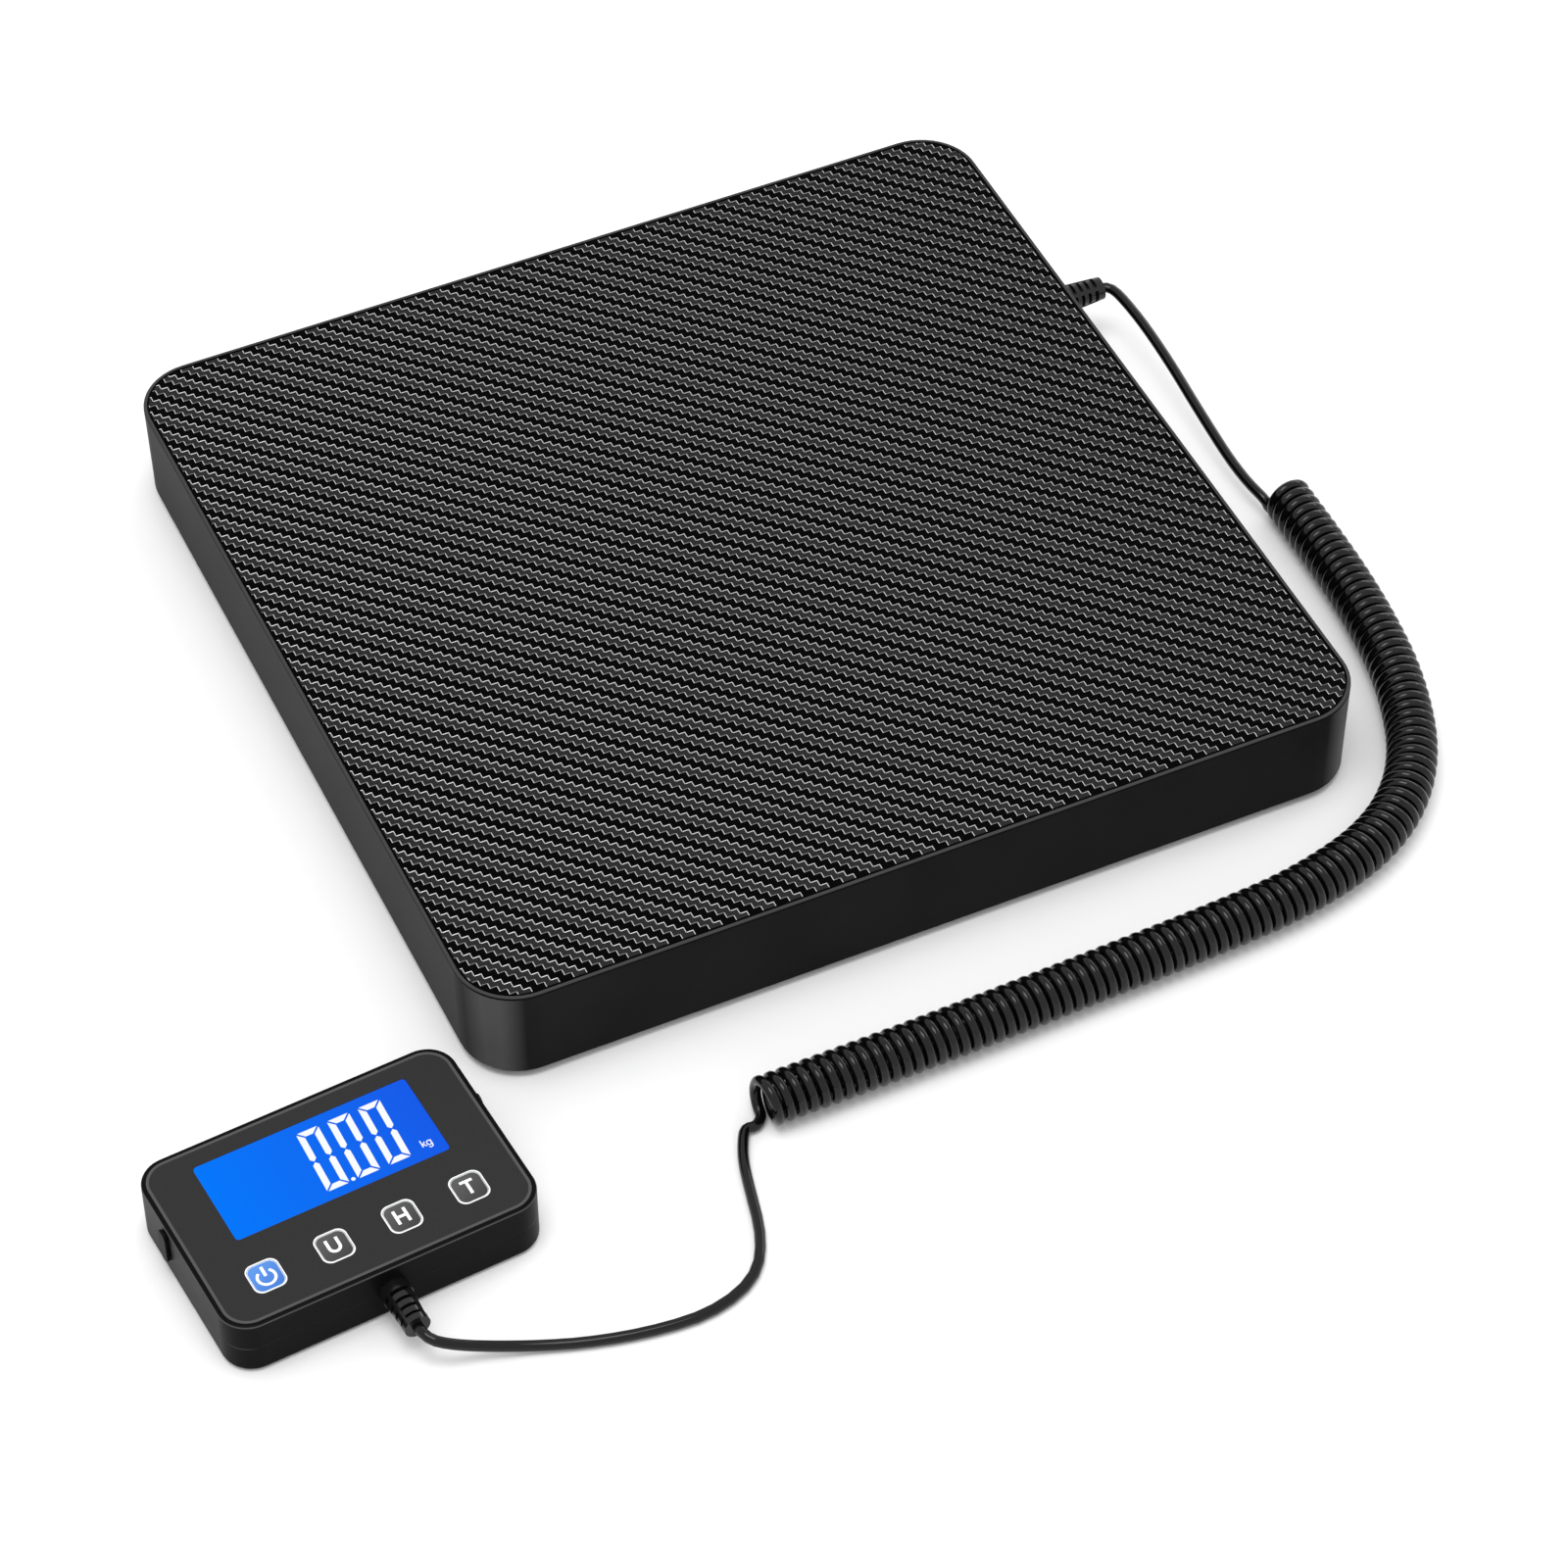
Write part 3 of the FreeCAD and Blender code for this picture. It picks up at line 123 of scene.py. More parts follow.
class Finish:
    """A material whose last shader is a Principled BSDF."""

    def __init__(self, name, color, roughness, **constants):
        self.material = bpy.data.materials.new(name)
        self.material.use_nodes = True
        self.nodes = self.material.node_tree.nodes
        self.links = self.material.node_tree.links
        self.shader = self.nodes["Principled BSDF"]
        self.put("Base Color", color)
        self.put("Roughness", roughness)
        for socket, value in constants.items():
            self.put(socket.replace("_", " "), value)
        self.place = None

    def node(self, kind, settings=None, sockets=None, out=0):
        """Adds a node: its settings first, then the value or the link of each named socket."""
        made = self.nodes.new(kind)
        for key, value in (settings or {}).items():
            setattr(made, key, value)
        for key, value in (sockets or {}).items():
            self.join(made.inputs[key], value)
        return Shade(self, made.outputs[out])

    def join(self, socket, value):
        if isinstance(value, Shade):
            self.links.new(value.socket, socket)
        elif isinstance(value, (tuple, list)) and socket.type == "RGBA":
            socket.default_value = (*value[:3], 1.0)
        else:
            socket.default_value = value

    def put(self, socket, value):
        self.join(self.shader.inputs[socket], value)

    def linked(self, socket):
        """What is joined to a socket of the shader."""
        return Shade(self, self.shader.inputs[socket].links[0].from_socket)

    def where(self):
        """Object coordinates."""
        if self.place is None:
            self.place = self.node("ShaderNodeTexCoord", out=3)
        return self.place

    def turned(self, middle, yaw):
        """Object coordinates counted from a middle, along axes turned by yaw: x, y and z."""
        moved = self.node("ShaderNodeMapping", {"vector_type": "TEXTURE"},
                          {"Vector": self.where(), "Location": tuple(middle), "Rotation": (0.0, 0.0, yaw)})
        return self.parts(moved)

    def on_unit(self):
        """Object coordinates counted from the display unit's middle along its own axes: x, y and z."""
        return self.turned((*display_middle[:2], 0.0), display_yaw)

    def parts(self, vector):
        split = self.node("ShaderNodeSeparateXYZ", sockets={0: vector})
        outputs = split.socket.node.outputs
        return [Shade(self, outputs[n]) for n in range(3)]

    def noise(self, size, detail=2.0, rough=0.5, stretch=None):
        """Fine noise whose features are about size metres wide; stretch is a scale along each axis."""
        place = self.where()
        if stretch:
            place = self.node("ShaderNodeVectorMath", {"operation": "MULTIPLY"}, {0: place, 1: stretch})
        return self.node("ShaderNodeTexNoise", None,
                         {"Vector": place, "Scale": 1.0 / size, "Detail": detail, "Roughness": rough})

    def cells(self, size):
        """Distance to the nearest of scattered points about size metres apart."""
        return self.node("ShaderNodeTexVoronoi", None, {"Vector": self.where(), "Scale": 1.0 / size})

    def mix(self, factor, first, second):
        """The first colour where factor is 0, the second where it is 1."""
        return self.node("ShaderNodeMix", {"data_type": "RGBA"}, {0: factor, 6: first, 7: second}, out=2)

    def bump(self, height, distance, strength=1.0, under=None):
        sockets = {"Height": height, "Distance": distance, "Strength": strength}
        if under is not None:
            sockets["Normal"] = under
        return self.node("ShaderNodeBump", None, sockets)


def outline_distance(x, y, half_x, half_y, radius):
    """Signed distance to a rectangle with round corners: positive outside it."""
    along = abs(x) - (half_x - radius)
    across = abs(y) - (half_y - radius)
    out_x = along.high(0.0)
    out_y = across.high(0.0)
    corner = (out_x * out_x + out_y * out_y) ** 0.5
    return corner + along.high(across).low(0.0) - radius


def grey(value):
    """The linear grey of a screen value from 0 to 255."""
    return (((value / 255.0 + 0.055) / 1.055) ** 2.4,) * 3


joints = {joint["name"]: joint for joint in frame["joints"]}
across_display = np.array(joints["stand_hinge"]["axis"])
display_yaw = math.atan2(across_display[1], across_display[0])
panel_low, panel_high = (np.array(corner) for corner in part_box("display_panel"))
display_middle = (panel_low + panel_high) / 2
panel_top = panel_high[2]
key_names = ["power_key", "unit_key", "hold_key", "tare_key"]


def middle_of(node):
    low, high = (np.array(corner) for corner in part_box(node))
    return (low + high) / 2


def display_coordinates(points):
    """Row-frame points in the display's own x and y, counted from its middle."""
    offset = np.asarray(points)[..., :2] - display_middle[:2]
    c, s = math.cos(display_yaw), math.sin(display_yaw)
    return np.stack([offset[..., 0] * c + offset[..., 1] * s, offset[..., 1] * c - offset[..., 0] * s], -1)


key_places = [display_coordinates(middle_of(name)) for name in key_names]
key_pitch = float(key_places[1][0] - key_places[0][0])
key_row = float(key_places[0][1])

# How far the case's painted corner highlight reaches in from its sides, and where the display unit's painted
# corner highlight begins.
CORNER_HIGHLIGHT_SIZE = 11.0 * MM
UNIT_CORNER = (45.0 * MM, 29.0 * MM)


def moulded(name, color, roughness, grain, depth, shine=0.15, ior=1.45):
    """Moulded plastic: a fine spark-eroded grain, soft flow marks and a little handling polish."""
    finish = Finish(name, color, roughness, Specular_IOR_Level=shine, IOR=ior)
    fine = finish.noise(grain, 3.0, 0.6)
    broad = finish.noise(35.0 * MM, 2.0, 0.5)
    lift = tuple(min(1.0, part * 1.35 + 0.001) for part in color)
    finish.put("Base Color", finish.mix(broad.ramp(0.35, 0.7), color, lift))
    finish.put("Roughness", broad * 0.10 + fine * 0.08 + (roughness - 0.08))
    finish.put("Normal", finish.bump(fine, depth))
    return finish


# ---------------------------------------------------------------------------------------------------------
# Finishes of this scale
# ---------------------------------------------------------------------------------------------------------
def case_finish():
    """The platform's case: matt black, with a painted highlight on its upright round corners and along its flat
    rim, and a painted shade on the rounded edge just below the rim.
    """
    finish = moulded("case_black_plastic", grey(19), 0.42, 0.6 * MM, 20.0 * MICRON, shine=0.5, ior=1.1)
    half_x, half_y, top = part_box("platform_shell")[1]
    x, y, z = finish.parts(finish.where())
    # Painted highlight on the four upright round corners, the same on each.
    corner = (abs(x) - (half_x - CORNER_HIGHLIGHT_SIZE)).low(abs(y) - (half_y - CORNER_HIGHLIGHT_SIZE))
    corner_highlight_color = finish.mix(corner.ramp(-4.0 * MM, 3.0 * MM), finish.linked("Base Color"), grey(82))
    # Painted shade: a dark band on the rounded top edge, just below the rim.
    edge_shade_band = z.ramp(top - 1.1 * MM, top - 0.7 * MM)
    # Painted highlight: a pale line along the flat top of the rim.
    rim = z.ramp(top - 0.3 * MM, top - 0.1 * MM)
    finish.put("Base Color", finish.mix(rim, finish.mix(edge_shade_band, corner_highlight_color, grey(5)), grey(60)))
    return finish


def display_shell_finish():
    """The display's shells: black, with a fine sunk joint line where they meet and a painted highlight on the top
    edge.

    The joint line is a little paler than the shells, and paler still at the upright corners, where a highlight is
    painted.
    """
    finish = moulded("display_black_plastic", grey(17), 0.36, 0.5 * MM, 15.0 * MICRON, shine=0.5, ior=1.12)
    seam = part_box("display_front_housing")[0][2]
    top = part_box("display_front_housing")[1][2]
    x, y, z = finish.parts(finish.where())
    away = abs(z - seam).ramp(0.06 * MM, 0.2 * MM)
    u, v, w = finish.on_unit()
    corner = (abs(u) - UNIT_CORNER[0]).low(abs(v) - UNIT_CORNER[1])
    # Painted highlight on the four upright corners; it shows only along the joint line.
    joint_and_corner_highlight = finish.mix(corner.ramp(-2.0 * MM, 1.5 * MM), finish.linked("Base Color"), grey(72))
    shell_color = finish.mix(away, joint_and_corner_highlight, grey(10))
    # Painted highlight: a pale band on the rounded top edge, just below the flat top.
    edge = z.ramp(top - 0.8 * MM, top - 0.6 * MM) - z.ramp(top - 0.35 * MM, top - 0.15 * MM)
    finish.put("Base Color", finish.mix(edge, shell_color, grey(74)))
    finish.put("Normal", finish.bump(away, 0.1 * MM, 1.0, finish.linked("Normal")))
    return finish


def deck_finish():
    """Printed twill on the deck film.

    The film is a grid of cells 2.2 mm wide. With c and r a cell's column and row, s = (c + r) mod 4: the
    cells with s of 0 or 1 are grey and the others black, so grey bands step up by one cell a row. A grey
    band has a thin printed line along its edges; the line on its upper edge is the lightest, and it carries
    a painted sheen that is bright on the left of the deck and dims towards the right.
    """
    finish = Finish("deck_twill_film", grey(60), 0.38, IOR=1.05)
    cell = 2.2 * MM
    weave_left = -145.1 * MM
    weave_front = -130.7 * MM
    x, y, z = finish.parts(finish.where())
    u = (x - weave_left) / cell
    v = (y - weave_front) / cell
    column = u.floor()
    row = v.floor()
    fu = u - column
    fv = v - row
    step = (column + row) % 4.0
    is_0 = step < 0.5
    is_1 = (step > 0.5) * (step < 1.5)
    line = 0.11
    upright = (fu < line) * is_0 + (fu > 1.0 - line) * is_1
    upper = (fv > 1.0 - line) * is_1
    lower = (fv < line) * is_0
    # Painted sheen on the upper lines: bright on the left of the deck, dimming towards the right.
    sheen_fade = x.ramp(-150.0 * MM, 150.0 * MM)
    cloth = finish.noise(0.9 * MM, 2.0)
    band = finish.mix(cloth.ramp(0.3, 0.8), grey(40), grey(35))
    band = finish.mix(is_0 + is_1, grey(4), band)
    upper_line_and_sheen = finish.mix(sheen_fade, grey(238), grey(84))
    color = finish.mix(lower, band, grey(118))
    color = finish.mix(upper, color, upper_line_and_sheen)
    color = finish.mix(upright, color, grey(185))
    half_x, half_y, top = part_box("deck_film")[1]
    margin = 0.5 * MM
    edge = outline_distance(x, y, half_x - margin, half_y - margin, 17.0 * MM)
    color = finish.mix(edge.ramp(0.0, 0.1 * MM), color, grey(3))
    finish.put("Base Color", color)
    finish.put("Roughness", (is_0 + is_1) * 0.06 + cloth * 0.1 + 0.34)
    relief = (upright + upper + lower).low(1.0) * 0.6 + (is_0 + is_1) * 0.4
    finish.put("Normal", finish.bump(relief, 20.0 * MICRON, 0.4))
    return finish


def from_nearest_key(x):
    """The distance along the key row from the middle of the nearest key."""
    return (x + 2.0 * key_pitch) % key_pitch - key_pitch / 2


def panel_finish():
    """The overlay: dark inside, a pale band along its edge that is a painted highlight, and a white line round
    each key.
    """
    finish = Finish("panel_overlay", grey(44), 0.3, IOR=1.15)
    x, y, z = finish.on_unit()
    edge = outline_distance(x, y, 48.2 * MM, 32.1 * MM, 7.2 * MM)
    # Painted highlight: a pale band round the overlay's outer edge.
    bevel_highlight = edge.ramp(-0.05 * MM, 0.05 * MM)
    key_x = away_from_keys(from_nearest_key(x), x)
    rim = outline_distance(key_x, y - key_row, 5.15 * MM, 5.45 * MM, 2.8 * MM)
    ring = 1.0 - rim.ramp(-0.02 * MM, 0.06 * MM)
    grain = finish.noise(0.4 * MM, 2.0)
    dark = finish.mix(grain.ramp(0.3, 0.8), grey(41), grey(46))
    color = finish.mix(bevel_highlight, dark, grey(76))
    color = finish.mix(ring, color, (0.86, 0.87, 0.88))
    finish.put("Base Color", color)
    finish.put("Roughness", grain * 0.08 + 0.26)
    finish.put("Normal", finish.bump(grain, 6.0 * MICRON))
    return finish


def away_from_keys(key_x, x):
    """The distance along the key row, kept far from any key outside the four keys' stretch."""
    far = 50.0 * MM
    return key_x + (abs(x) > 2.0 * key_pitch) * far


def readout_finish():
    """The lit readout under its clear window: blue, a little paler on the left, with a fine grid of dots."""
    finish = Finish("readout_blue", (0.0, 0.008, 0.05), 0.16, IOR=1.08)
    x, y, z = finish.on_unit()
    side = x.ramp(-36.0 * MM, 36.0 * MM)
    dot = 0.45 * MM
    mesh_x = abs((x / dot) % 1.0 - 0.5)
    mesh_y = abs((y / dot) % 1.0 - 0.5)
    dots = mesh_x.high(mesh_y).ramp(0.42, 0.5) * 0.12
    glow = finish.mix(side, (0.0, 0.195, 1.0), (0.008, 0.105, 0.84))
    glow = finish.mix(dots, glow, (0.0, 0.05, 0.5))
    finish.put("Base Color", finish.mix(side, (0.0, 0.006, 0.04), (0.0, 0.004, 0.03)))
    finish.put("Emission Color", glow)
    finish.put("Emission Strength", 0.92)
    return finish


def lit_mark_finish():
    """A lit segment of the readout."""
    finish = Finish("readout_segment", grey(20), 0.4, Specular_IOR_Level=0.1)
    blur = finish.noise(3.0 * MM, 1.0)
    finish.put("Emission Color", finish.mix(blur, (0.88, 0.93, 1.0), (0.98, 0.99, 1.0)))
    finish.put("Emission Strength", 1.0)
    return finish


def key_finish(name, top, low, outline):
    """A key cap: made paler towards its back by painted shading, with the overlay's white line carried on round
    its rim.
    """
    finish = Finish(name, top, 0.36, Specular_IOR_Level=0.2)
    x, y, z = finish.on_unit()
    key_x = from_nearest_key(x)
    edge = outline_distance(key_x, y - key_row, 4.52 * MM, 4.82 * MM, 2.4 * MM)
    line = edge.ramp(-0.03 * MM, 0.03 * MM)
    # Painted shading: the cap grows paler towards its back.
    shade = (y - key_row - key_x * 0.6).ramp(-6.0 * MM, 6.0 * MM)
    grain = finish.noise(0.4 * MM, 2.0)
    color = finish.mix(shade, low, top)
    finish.put("Base Color", finish.mix(line, color, outline))
    finish.put("Roughness", grain * 0.1 + 0.3)
    finish.put("Normal", finish.bump(grain, 8.0 * MICRON))
    return finish


def mark_finish():
    """White key print."""
    finish = Finish("key_print_white", (0.86, 0.87, 0.88), 0.45)
    grain = finish.noise(0.5 * MM, 2.0)
    finish.put("Base Color", finish.mix(grain.ramp(0.3, 0.8), (0.84, 0.85, 0.86), (0.92, 0.92, 0.93)))
    finish.put("Roughness", grain * 0.1 + 0.4)
    return finish


def cord_finish():
    """Black cord jacket: glossy, with a very faint orange-peel from the die."""
    finish = Finish("cord_jacket", grey(8), 0.12, IOR=1.36)
    peel = finish.noise(1.2 * MM, 2.0)
    finish.put("Base Color", finish.mix(peel.ramp(0.3, 0.75), grey(6), grey(12)))
    finish.put("Roughness", peel * 0.08 + 0.08)
    finish.put("Normal", finish.bump(peel, 4.0 * MICRON))
    return finish


def boot_finish():
    return moulded("boot_black_vinyl", grey(14), 0.15, 0.8 * MM, 2.0 * MICRON, shine=0.5, ior=1.42)


def steel_finish(name, color, roughness, size):
    """Rolled or turned steel: fine straight scratches and slow tarnish."""
    finish = Finish(name, color, roughness, Metallic=1.0)
    scratch = finish.noise(size, 3.0, 0.6, stretch=(0.06, 1.0, 1.0))
    tarnish = finish.noise(20.0 * MM, 2.0)
    finish.put("Base Color", finish.mix(tarnish.ramp(0.35, 0.75), color, tuple(0.8 * part for part in color)))
    finish.put("Roughness", scratch * 0.22 + tarnish * 0.1 + (roughness - 0.14))
    finish.put("Normal", finish.bump(scratch, 10.0 * MICRON))
    return finish


def rubber_finish():
    """Foot rubber: matt, with a fine pebble."""
    finish = Finish("foot_rubber", grey(30), 0.85)
    pebble = finish.cells(1.2 * MM)
    dust = finish.noise(12.0 * MM, 3.0)
    finish.put("Base Color", finish.mix(dust.ramp(0.4, 0.75), grey(24), grey(44)))
    finish.put("Roughness", pebble * 0.3 + 0.65)
    finish.put("Normal", finish.bump(pebble, 80.0 * MICRON))
    return finish


def board_finish():
    """Green board: solder mask with tracks 2.54 mm apart showing through it."""
    finish = Finish("board_green", (0.01, 0.09, 0.03), 0.35, Coat_Weight=0.4, Coat_Roughness=0.1)
    x, y, z = finish.parts(finish.where())
    lane_pitch = 2.54 * MM
    lane = abs((y / lane_pitch) % 1.0 - 0.5) < 0.18
    cut = finish.noise(8.0 * MM, 0.0) > 0.5
    finish.put("Base Color", finish.mix(lane * cut, (0.008, 0.085, 0.03), (0.02, 0.16, 0.05)))
    finish.put("Normal", finish.bump(lane * cut, 30.0 * MICRON))
    return finish


def wrap_finish():
    """Battery wrap: a plain dark sleeve with a copper-coloured band at one end."""
    finish = Finish("battery_wrap", grey(30), 0.25, Coat_Weight=0.3, Coat_Roughness=0.1)
    x, y, z = finish.on_unit()
    band = x.ramp(12.0 * MM, 12.1 * MM)
    scuff = finish.noise(3.0 * MM, 3.0)
    finish.put("Base Color", finish.mix(band, (0.015, 0.016, 0.02), (0.55, 0.22, 0.07)))
    finish.put("Metallic", band * 0.7 + 0.1)
    finish.put("Roughness", scuff * 0.2 + 0.18)
    return finish


plain_shell = moulded("cover_black_plastic", grey(18), 0.42, 0.6 * MM, 20.0 * MICRON, shine=0.5, ior=1.1)
display_shell = display_shell_finish()
boot = boot_finish()
cord_jacket = cord_finish()
by_slot = {
    "case_black": plain_shell,
    "deck_film": deck_finish(),
    "steel_plate": steel_finish("plate_zinc", (0.55, 0.56, 0.58), 0.4, 1.2 * MM),
    "nylon_black": moulded("foot_nylon", grey(26), 0.5, 0.9 * MM, 30.0 * MICRON),
    "holder_plastic": moulded("holder_plastic", grey(120), 0.5, 0.9 * MM, 30.0 * MICRON),
    "foot_rubber": rubber_finish(),
    "screw_steel": steel_finish("screw_zinc", (0.62, 0.62, 0.6), 0.32, 0.6 * MM),
    "circuit_board": board_finish(),
    "board_parts": moulded("board_part_plastic", grey(40), 0.4, 0.5 * MM, 10.0 * MICRON),
    "cord_rubber": cord_jacket,
    "wire_jacket": moulded("sensor_wire_jacket", (0.35, 0.02, 0.02), 0.4, 1.0 * MM, 10.0 * MICRON),
    "panel_grey": panel_finish(),
    "lens_clear": readout_finish(),
    "lcd_blue": moulded("glass_edge", (0.02, 0.12, 0.5), 0.15, 2.0 * MM, 2.0 * MICRON),
    "backlight_white": moulded("backlight_diffuser", grey(225), 0.5, 1.0 * MM, 4.0 * MICRON),
    "key_grey": key_finish("key_grey_cap", grey(78), grey(52), (0.8, 0.81, 0.82)),
    "key_blue": key_finish("key_blue_cap", (0.085, 0.24, 0.62), (0.04, 0.15, 0.5), (0.8, 0.86, 0.94)),
    "battery_wrap": wrap_finish(),
}
by_node = {
    "platform_shell": case_finish(),
    "platform_strain_relief": boot,
    "display_strain_relief": boot,
    "display_front_housing": display_shell,
    "display_back_housing": display_shell,
}
for entry in frame["record"]["subparts"]:
    piece = frame["nodes"][entry["node"]]
    finish = by_node.get(entry["node"], by_slot[entry["material_slot"]])
    for place in piece.material_slots:
        place.material = finish.material


# ---------------------------------------------------------------------------------------------------------
# Surfaces
# ---------------------------------------------------------------------------------------------------------
def make_piece(name, points, faces, finish, body=None, smooth=True):
    """A mesh object at the origin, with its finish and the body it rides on."""
    mesh = bpy.data.meshes.new(name)
    mesh.from_pydata(np.asarray(points, float).tolist(), [], faces)
    mesh.validate()
    mesh.polygons.foreach_set("use_smooth", np.full(len(mesh.polygons), smooth))
    mesh.materials.append(finish.material)
    piece = bpy.data.objects.new(name, mesh)
    bpy.context.scene.collection.objects.link(piece)
    if body:
        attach(piece, body)
    return piece


def prism(outline, low, high):
    """A closed flat slab: the outline's points at height low and again at height high, counter-clockwise."""
    outline = np.asarray(outline, float)
    count = len(outline)
    area = np.sum(outline[:, 0] * np.roll(outline[:, 1], -1) - outline[:, 1] * np.roll(outline[:, 0], -1))
    if area < 0:
        outline = outline[::-1]
    points = np.concatenate([np.c_[outline, np.full(count, low)], np.c_[outline, np.full(count, high)]])
    ring = np.arange(count)
    after = np.roll(ring, -1)
    sides = np.stack([ring, after, after + count, ring + count], 1).tolist()
    return points, sides + [ring[::-1].tolist(), (ring + count).tolist()]


def ribbon(path, width):
    """The outline of a flat stroke: the path moved to its left by half the width, and back on its right.

    At each point the offset is along the mean normal n of the two runs that meet there, divided by the
    cosine of half the turn, so the stroke keeps its width round a corner.
    """
    path = np.asarray(path, float)
    runs = np.diff(path, axis=0)
    runs /= np.linalg.norm(runs, axis=1)[:, None]
    normals = np.c_[-runs[:, 1], runs[:, 0]]
    before = np.concatenate([normals[:1], normals])
    after = np.concatenate([normals, normals[-1:]])
    mean = before + after
    mean /= np.linalg.norm(mean, axis=1)[:, None]
    mean /= np.sum(mean * after, axis=1)[:, None]
    return np.concatenate([path + mean * width / 2, (path - mean * width / 2)[::-1]])


def arc(x, y, radius, start, end, count=24, tall=1.0):
    """Points on a circle about x, y from one angle to another in degrees; tall stretches it along y."""
    angle = np.radians(np.linspace(start, end, count))
    return np.c_[x + radius * np.cos(angle), y + radius * tall * np.sin(angle)]


def on_display(points):
    """Points given in millimetres in the display's own frame, as row-frame metres; z is left as it is."""
    points = np.asarray(points, float)
    c, s = math.cos(display_yaw), math.sin(display_yaw)
    x, y = points[:, 0] * MM, points[:, 1] * MM
    return np.c_[display_middle[0] + x * c - y * s, display_middle[1] + x * s + y * c, points[:, 2] * MM]


def slabs(name, outlines, low, high, finish, body):
    """Several flat slabs in the display's frame, as one piece."""
    points, faces = [], []
    count = 0
    for outline in outlines:
        more, sides = prism(outline, low, high)
        faces += [[index + count for index in face] for face in sides]
        points.append(more)
        count += len(more)
    return make_piece(name, on_display(np.concatenate(points)), faces, finish, body, smooth=False)


# ---------------------------------------------------------------------------------------------------------
# Readout
# ---------------------------------------------------------------------------------------------------------
DIGIT_WIDTH = 7.15
DIGIT_HEIGHT = 23.65
DIGIT_STROKE = 2.0
DIGIT_SLANT = 1.2
DIGIT_PITCH = 10.0
SEGMENT_GAP = 0.42
FIRST_DIGIT = (-3.9, -0.75)
DECIMAL_POINT = (4.7, -0.15)
POINT_RADIUS = 0.66
UNIT_MARK = (27.7, 0.25)


def zero_segments(left, bottom):
    """The six lit segments of a nought: bars with 45 degree ends, and uprights that meet at a point."""
    w, h, s, g = DIGIT_WIDTH, DIGIT_HEIGHT, DIGIT_STROKE, SEGMENT_GAP
    half = h / 2
    top = [(g, h), (w - g, h), (w - s - g, h - s), (s + g, h - s)]
    side = [(0, h - g), (s, h - s - g), (s, half + s / 2 + g / 2), (s / 2, half + g / 2),
            (0, half + s / 2 + g / 2)]
    shapes = [np.array(top), np.array(side), np.array(side) * (-1, 1) + (w, 0)]
    shapes += [shape * (1, -1) + (0, h) for shape in shapes]
    return [np.c_[shape[:, 0] + shape[:, 1] / h * DIGIT_SLANT + left, shape[:, 1] + bottom]
            for shape in shapes]


def unit_mark(x, y):
    """The readout's kg mark: strokes for the k, and a bowl with a tail for the g."""
    k = [
        [(x, y), (x, y + 2.7)],
        [(x + 1.1, y + 1.8), (x + 0.12, y + 0.8)],
        [(x + 0.4, y + 1.05), (x + 1.2, y)],
    ]
    bowl = arc(x + 2.25, y + 0.9, 0.68, 0, 359.9, 20, 1.25)
    stem = np.concatenate([[(x + 2.93, y + 1.8)], arc(x + 2.25, y - 0.2, 0.68, 0, -150, 12)])
    return [ribbon(line, 0.36) for line in (*k, bowl, stem)]


lit = lit_mark_finish()
segments = []
for place in range(3):
    segments += zero_segments(FIRST_DIGIT[0] + DIGIT_PITCH * place, FIRST_DIGIT[1])
segments.append(arc(*DECIMAL_POINT, POINT_RADIUS, 0, 345, 24))
segments += unit_mark(*UNIT_MARK)
face_mm = float(panel_top / MM)
slabs("readout_segments", segments, face_mm - 0.15, face_mm + 0.03, lit, "display")


# ---------------------------------------------------------------------------------------------------------
# Key marks
# ---------------------------------------------------------------------------------------------------------
print_white = mark_finish()
key_face = float(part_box("unit_key")[1][2] / MM)
LETTER_HALF = 1.65
LETTER_LOW = -2.3
LETTER_TALL = 5.3
LETTER_STROKE = 0.95
POWER_RADIUS = 2.7
POWER_STROKE = 0.85


def letter_lines(name):
    """The strokes of a letter about its key's middle."""
    low, high = LETTER_LOW + LETTER_STROKE / 2, LETTER_LOW + LETTER_TALL
    middle = (LETTER_LOW + high) / 2
    if name == "unit_key":
        bowl = arc(0, low + LETTER_HALF, LETTER_HALF, 180, 360, 20)
        return [np.concatenate([[(-LETTER_HALF, high)], bowl, [(LETTER_HALF, high)]])]
    if name == "hold_key":
        sides = [[(side * LETTER_HALF, LETTER_LOW), (side * LETTER_HALF, high)] for side in (-1, 1)]
        inside = LETTER_HALF - 0.45
        return sides + [[(-inside, middle), (inside, middle)]]
    bar_half = LETTER_HALF + 0.35
    bar_middle = high - LETTER_STROKE / 2
    stem_top = high - LETTER_STROKE - 0.01
    return [[(-bar_half, bar_middle), (bar_half, bar_middle)], [(0, LETTER_LOW), (0, stem_top)]]


def key_mark(name):
    """The outlines of a key's mark about its middle: a letter, or a ring open at its top with a bar in it."""
    if name == "power_key":
        ring = arc(0, -0.35, POWER_RADIUS, 128, 412, 40)
        return [ribbon(ring, POWER_STROKE), ribbon([(0, 0.1), (0, 3.7)], LETTER_STROKE)]
    return [ribbon(line, LETTER_STROKE) for line in letter_lines(name)]


for name, place in zip(key_names, key_places):
    outlines = [outline + place / MM for outline in key_mark(name)]
    slabs(f"{name}_mark", outlines, key_face - 0.1, key_face + 0.02, print_white, f"{name}_body")


